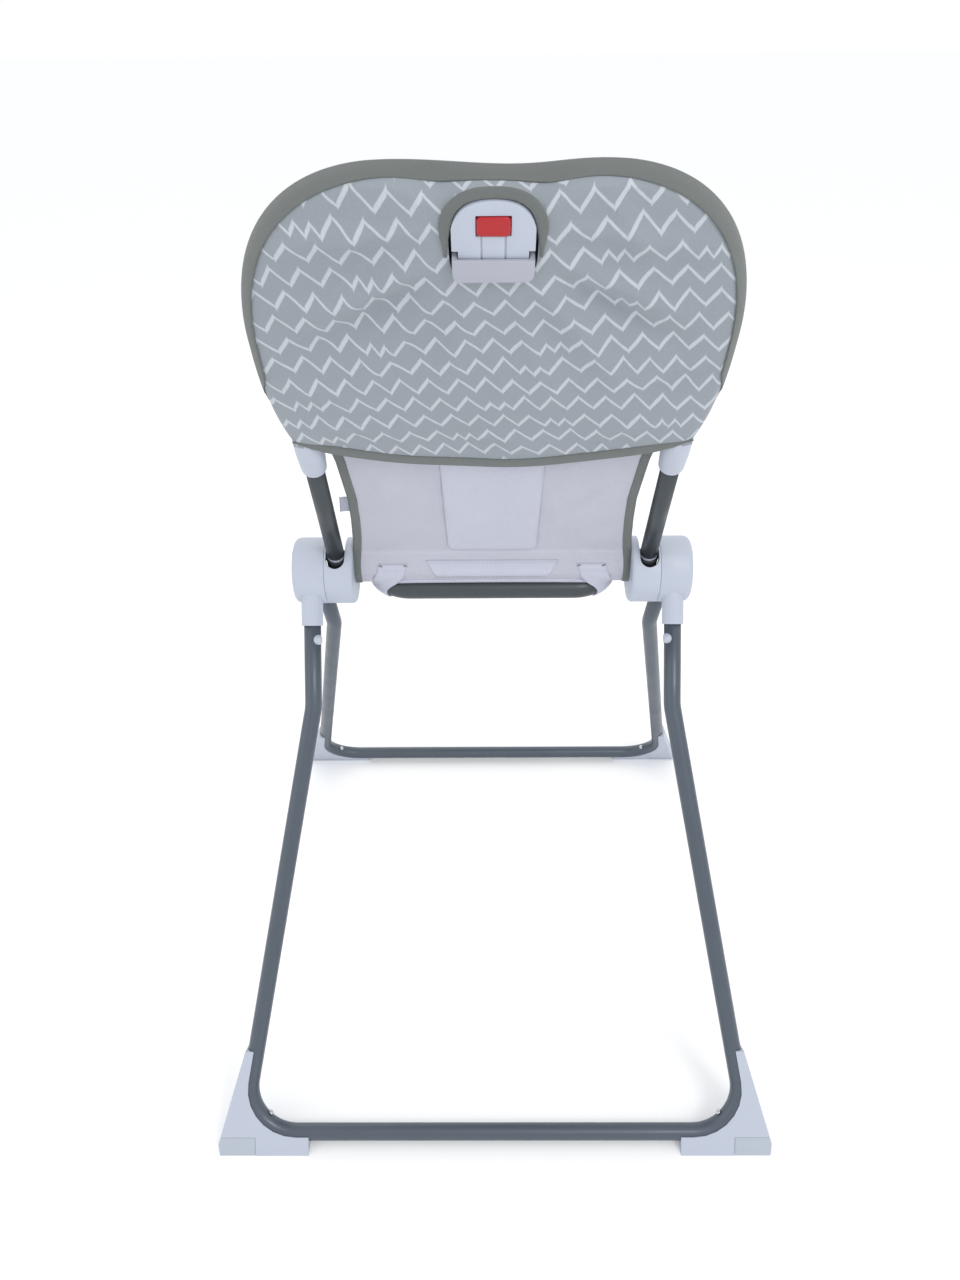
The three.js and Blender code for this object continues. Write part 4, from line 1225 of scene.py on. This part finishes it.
def cushion(name, outline, low, high, place, local, body, cap, voxel, channels):
    """Padded piece: an outline in the piece's own plane, thick from `low` to `high`, resting
    on its `high` side for the back pad and on its `low` side for the others. Its seam runs
    round the outline near the resting side, and the thickness rises from there. A channel is
    a sewn line across: its height, its sag at the sides, its half width and its depth."""
    rests_high = place is on_back
    rest_at, free_at = (high, low) if rests_high else (low, high)
    toward = math.copysign(1, free_at - rest_at)
    thick = abs(free_at - rest_at)
    levels = [(inset, rest_at + toward * share * thick)
              for inset, share in ((0, 0), (0, SEAM_SHARE), (3, 0.62), (9, 0.88))] + [(18, free_at)]
    if rests_high:
        outline = outline[::-1]
    work = bmesh.new()
    rings = [[work.verts.new(place(a, b, c) * MM) for a, b in inset_outline(outline, inset)]
             for inset, c in levels]
    count = len(outline)
    work.faces.new(rings[0])
    work.faces.new(list(reversed(rings[-1])))
    for one, two in zip(rings, rings[1:]):
        for k in range(count):
            m = (k + 1) % count
            work.faces.new((one[m], one[k], two[k], two[m]))
    bmesh.ops.recalc_face_normals(work, faces=work.faces)
    mesh = bpy.data.meshes.new(name)
    work.to_mesh(mesh)
    work.free()
    piece = add_object(name, mesh)
    # an even mesh, on which the cloth can swell
    remesh = piece.modifiers.new("remesh", "REMESH")
    remesh.mode = "VOXEL"
    remesh.voxel_size = voxel * MM
    view = evaluated(piece)
    piece.data = bpy.data.meshes.new_from_object(view)
    piece.modifiers.clear()
    seam = levels[1][1]

    def pinned(co):
        a, b, c = local(co)
        return abs(c - seam) < voxel and not inside(outline, a, b, voxel * 0.9)

    swell(piece, pinned, cap)
    for vertex in piece.data.vertices:
        a, b, c = local(vertex.co)
        for at, sag, width, depth in channels:
            off = b - at + sag * (a / CHANNEL_HALF) ** 2
            if (c - seam) * toward > 0:
                c -= toward * depth * math.exp(-(off / width) ** 2)
        c = min(c, high) if rests_high else max(c, low)
        vertex.co = place(a, b, c) * MM
    smooth = piece.modifiers.new("smooth", "SUBSURF")
    smooth.levels = smooth.render_levels = 1
    piece.data.materials.append(PRINT)
    shade_smooth(piece.data)
    slant = -0.6 if rests_high else 0.6
    places = [local(vertex.co) for vertex in piece.data.vertices]
    set_plan(piece, [(a, b + slant * c) for a, b, c in places])
    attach(piece, body)
    return piece


def inset_outline(outline, inset):
    """An outline moved inwards by `inset`, for one that runs counterclockwise or clockwise."""
    turned = sum(a[0] * b[1] - b[0] * a[1] for a, b in zip(outline, outline[1:] + outline[:1]))
    sign = math.copysign(1, turned)
    moved = []
    for k in range(len(outline)):
        before, here, after = outline[k - 1], outline[k], outline[(k + 1) % len(outline)]
        along = Vector((after[0] - before[0], after[1] - before[1])).normalized()
        moved.append((here[0] - sign * inset * along.y, here[1] + sign * inset * along.x))
    return moved


def inside(outline, a, b, margin):
    """Whether (a, b) is inside an outline by at least `margin`."""
    best = 1e9
    odd = False
    for (a0, b0), (a1, b1) in zip(outline, outline[1:] + outline[:1]):
        if (b0 > b) != (b1 > b) and a < (a1 - a0) * (b - b0) / (b1 - b0) + a0:
            odd = not odd
        da, db = a1 - a0, b1 - b0
        t = min(1, max(0, ((a - a0) * da + (b - b0) * db) / (da * da + db * db + 1e-9)))
        best = min(best, math.hypot(a - a0 - da * t, b - b0 - db * t))
    return odd and best > margin


def back_pad_outline():
    knots = [
        (126, 62), (128, 110), (127, 150), (128, 180), (130, 240), (178, 262),
        (178, 322), (178, 412), (146, 460), (78, 460), (30, 460), (-30, 460),
        (-78, 460), (-146, 460), (-178, 412), (-178, 322), (-178, 262), (-130, 240),
        (-128, 180), (-127, 150), (-128, 110), (-126, 62)]
    return curved(knots, 8)


def make_pads():
    back_plan = back_pad_outline()
    seat_plan = rounded_outline(128, -298, -30, 22)
    rest_plan = rounded_outline(100, -176, -23, 20)
    back = cushion("back_pad_cushion", back_plan, -34, -10.4, on_back, back_coords, "backrest",
                   8, 5.5, [(176, 16, 6, 7), (300, -14, 6, 6)])
    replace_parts(back, "back_pad")
    seat = cushion("seat_pad_cushion", seat_plan, -7.2, 12.5, on_seat, seat_coords, "seat",
                   7, 5.0, [(-112, 0, 6, 5), (-205, 0, 6, 5)])
    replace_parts(seat, "seat_pad")
    rest = cushion("leg_rest_cushion", rest_plan, -7, 6.5, on_rest, rest_coords, "leg_rest",
                   6, 5.0, [(-98, 0, 6, 4)])
    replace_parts(rest, "leg_rest_pad")
    pad_piping(back, back_plan + back_plan[:1], on_back, -22, "backrest")
    pad_piping(seat, seat_plan, on_seat, 3, "seat")
    pad_piping(rest, rest_plan, on_rest, 0, "leg_rest")
    return back, seat


def pad_piping(piece, outline, place, middle, body):
    """Piping on the seam round a pad, laid on the pad's own surface."""
    tree = surface_of(piece)
    closed = spread(outline + outline[:1], 160)[:-1]
    centre = np.mean(outline, axis=0)
    path = []
    for a, b in closed:
        away = Vector((a - centre[0], b - centre[1])).normalized()
        start = place(a + 30 * away.x, b + 30 * away.y, middle) * MM
        toward = (place(a, b, middle) * MM - start).normalized()
        hit = tree.ray_cast(start, toward, 0.06)[0]
        path.append((hit / MM if hit else place(a, b, middle)))
    sweep(f"{piece.name}_piping", path, circle(2.1, 12), BINDING, body, closed=True)


def surface_of(piece):
    view = evaluated(piece)
    mesh = view.to_mesh()
    points = [piece.matrix_world @ v.co for v in mesh.vertices]
    tree = BVHTree.FromPolygons(points, [tuple(p.vertices) for p in mesh.polygons])
    view.to_mesh_clear()
    return tree


# ---- harness
STRAP = band(25, 1.8)


def laid_on(tree, path, away, lift):
    """Moves each point of a path onto a surface, looking along -away, and lifts it off again."""
    laid = []
    for p in path:
        hit = tree.ray_cast(p * MM + away * 0.09, -away, 0.2)[0]
        laid.append((hit / MM if hit else p) + away * lift)
    return laid


def make_harness(back, seat):
    front = (on_back(0, 0, -1) - on_back(0, 0, 0)).normalized()
    above = (on_seat(0, 0, 1) - on_seat(0, 0, 0)).normalized()
    ahead = on_seat(0, -1, 0) - on_seat(0, 0, 0)
    low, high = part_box("buckle_body")
    buckle = Vector(((low.x + high.x) / 2, (low.y + high.y) / 2, (low.z + high.z) / 2)) / MM
    back_tree, seat_tree = surface_of(back), surface_of(seat)
    for word, side in SIDES:
        path = [on_back(side * (52 + 3 * k / 24), 335 - 239 * k / 24, -34) for k in range(25)]
        path = smooth_line(soften(laid_on(back_tree, path, front, 1.6)), 3)
        strap = sweep(f"shoulder_webbing_{word}", path, STRAP, WEBBING, "backrest", ACROSS)
        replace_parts(strap, f"shoulder_strap_{word}")
        for k, at in enumerate((4, -5)):
            p = path[at]
            q = [p + Vector((x, 0, 0)) + front * 1.3 for x in (-10, 10)]
            stitches(f"shoulder_bartack_{word}_{k}", q, THREAD, "backrest", 1.3, 0.5, 0.4)
        start = on_seat(side * 121, -38, 24)
        end = buckle + Vector((side * 20, 0, 0))
        bend = (start + end) / 2 + above * -1.5 + Vector((side * 6, -12, 0))
        path = smooth_line([start, bend, end], 3)
        strap = sweep(f"waist_webbing_{word}", path, STRAP, WEBBING, "seat", ahead)
        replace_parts(strap, f"waist_strap_{word}")
        q = [path[-8] + Vector((0, y, 0)) + above * 1.3 for y in (-9, 9)]
        stitches(f"waist_bartack_{word}", q, THREAD, "seat", 1.3, 0.5, 0.4)
    rise = ((-152, 2), (-151, 14), (-147, 21), (-141, 22.5))
    path = smooth_line([on_seat(0, y, z) for y, z in rise], 1.5)
    strap = sweep("crotch_webbing", path, STRAP, WEBBING, "seat", ACROSS)
    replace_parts(strap, "crotch_strap")


make_camera()
make_studio()
make_tubes()
dress_nodes()
make_tube_collars()
make_button()
make_hood()
make_lining()
make_harness(*make_pads())
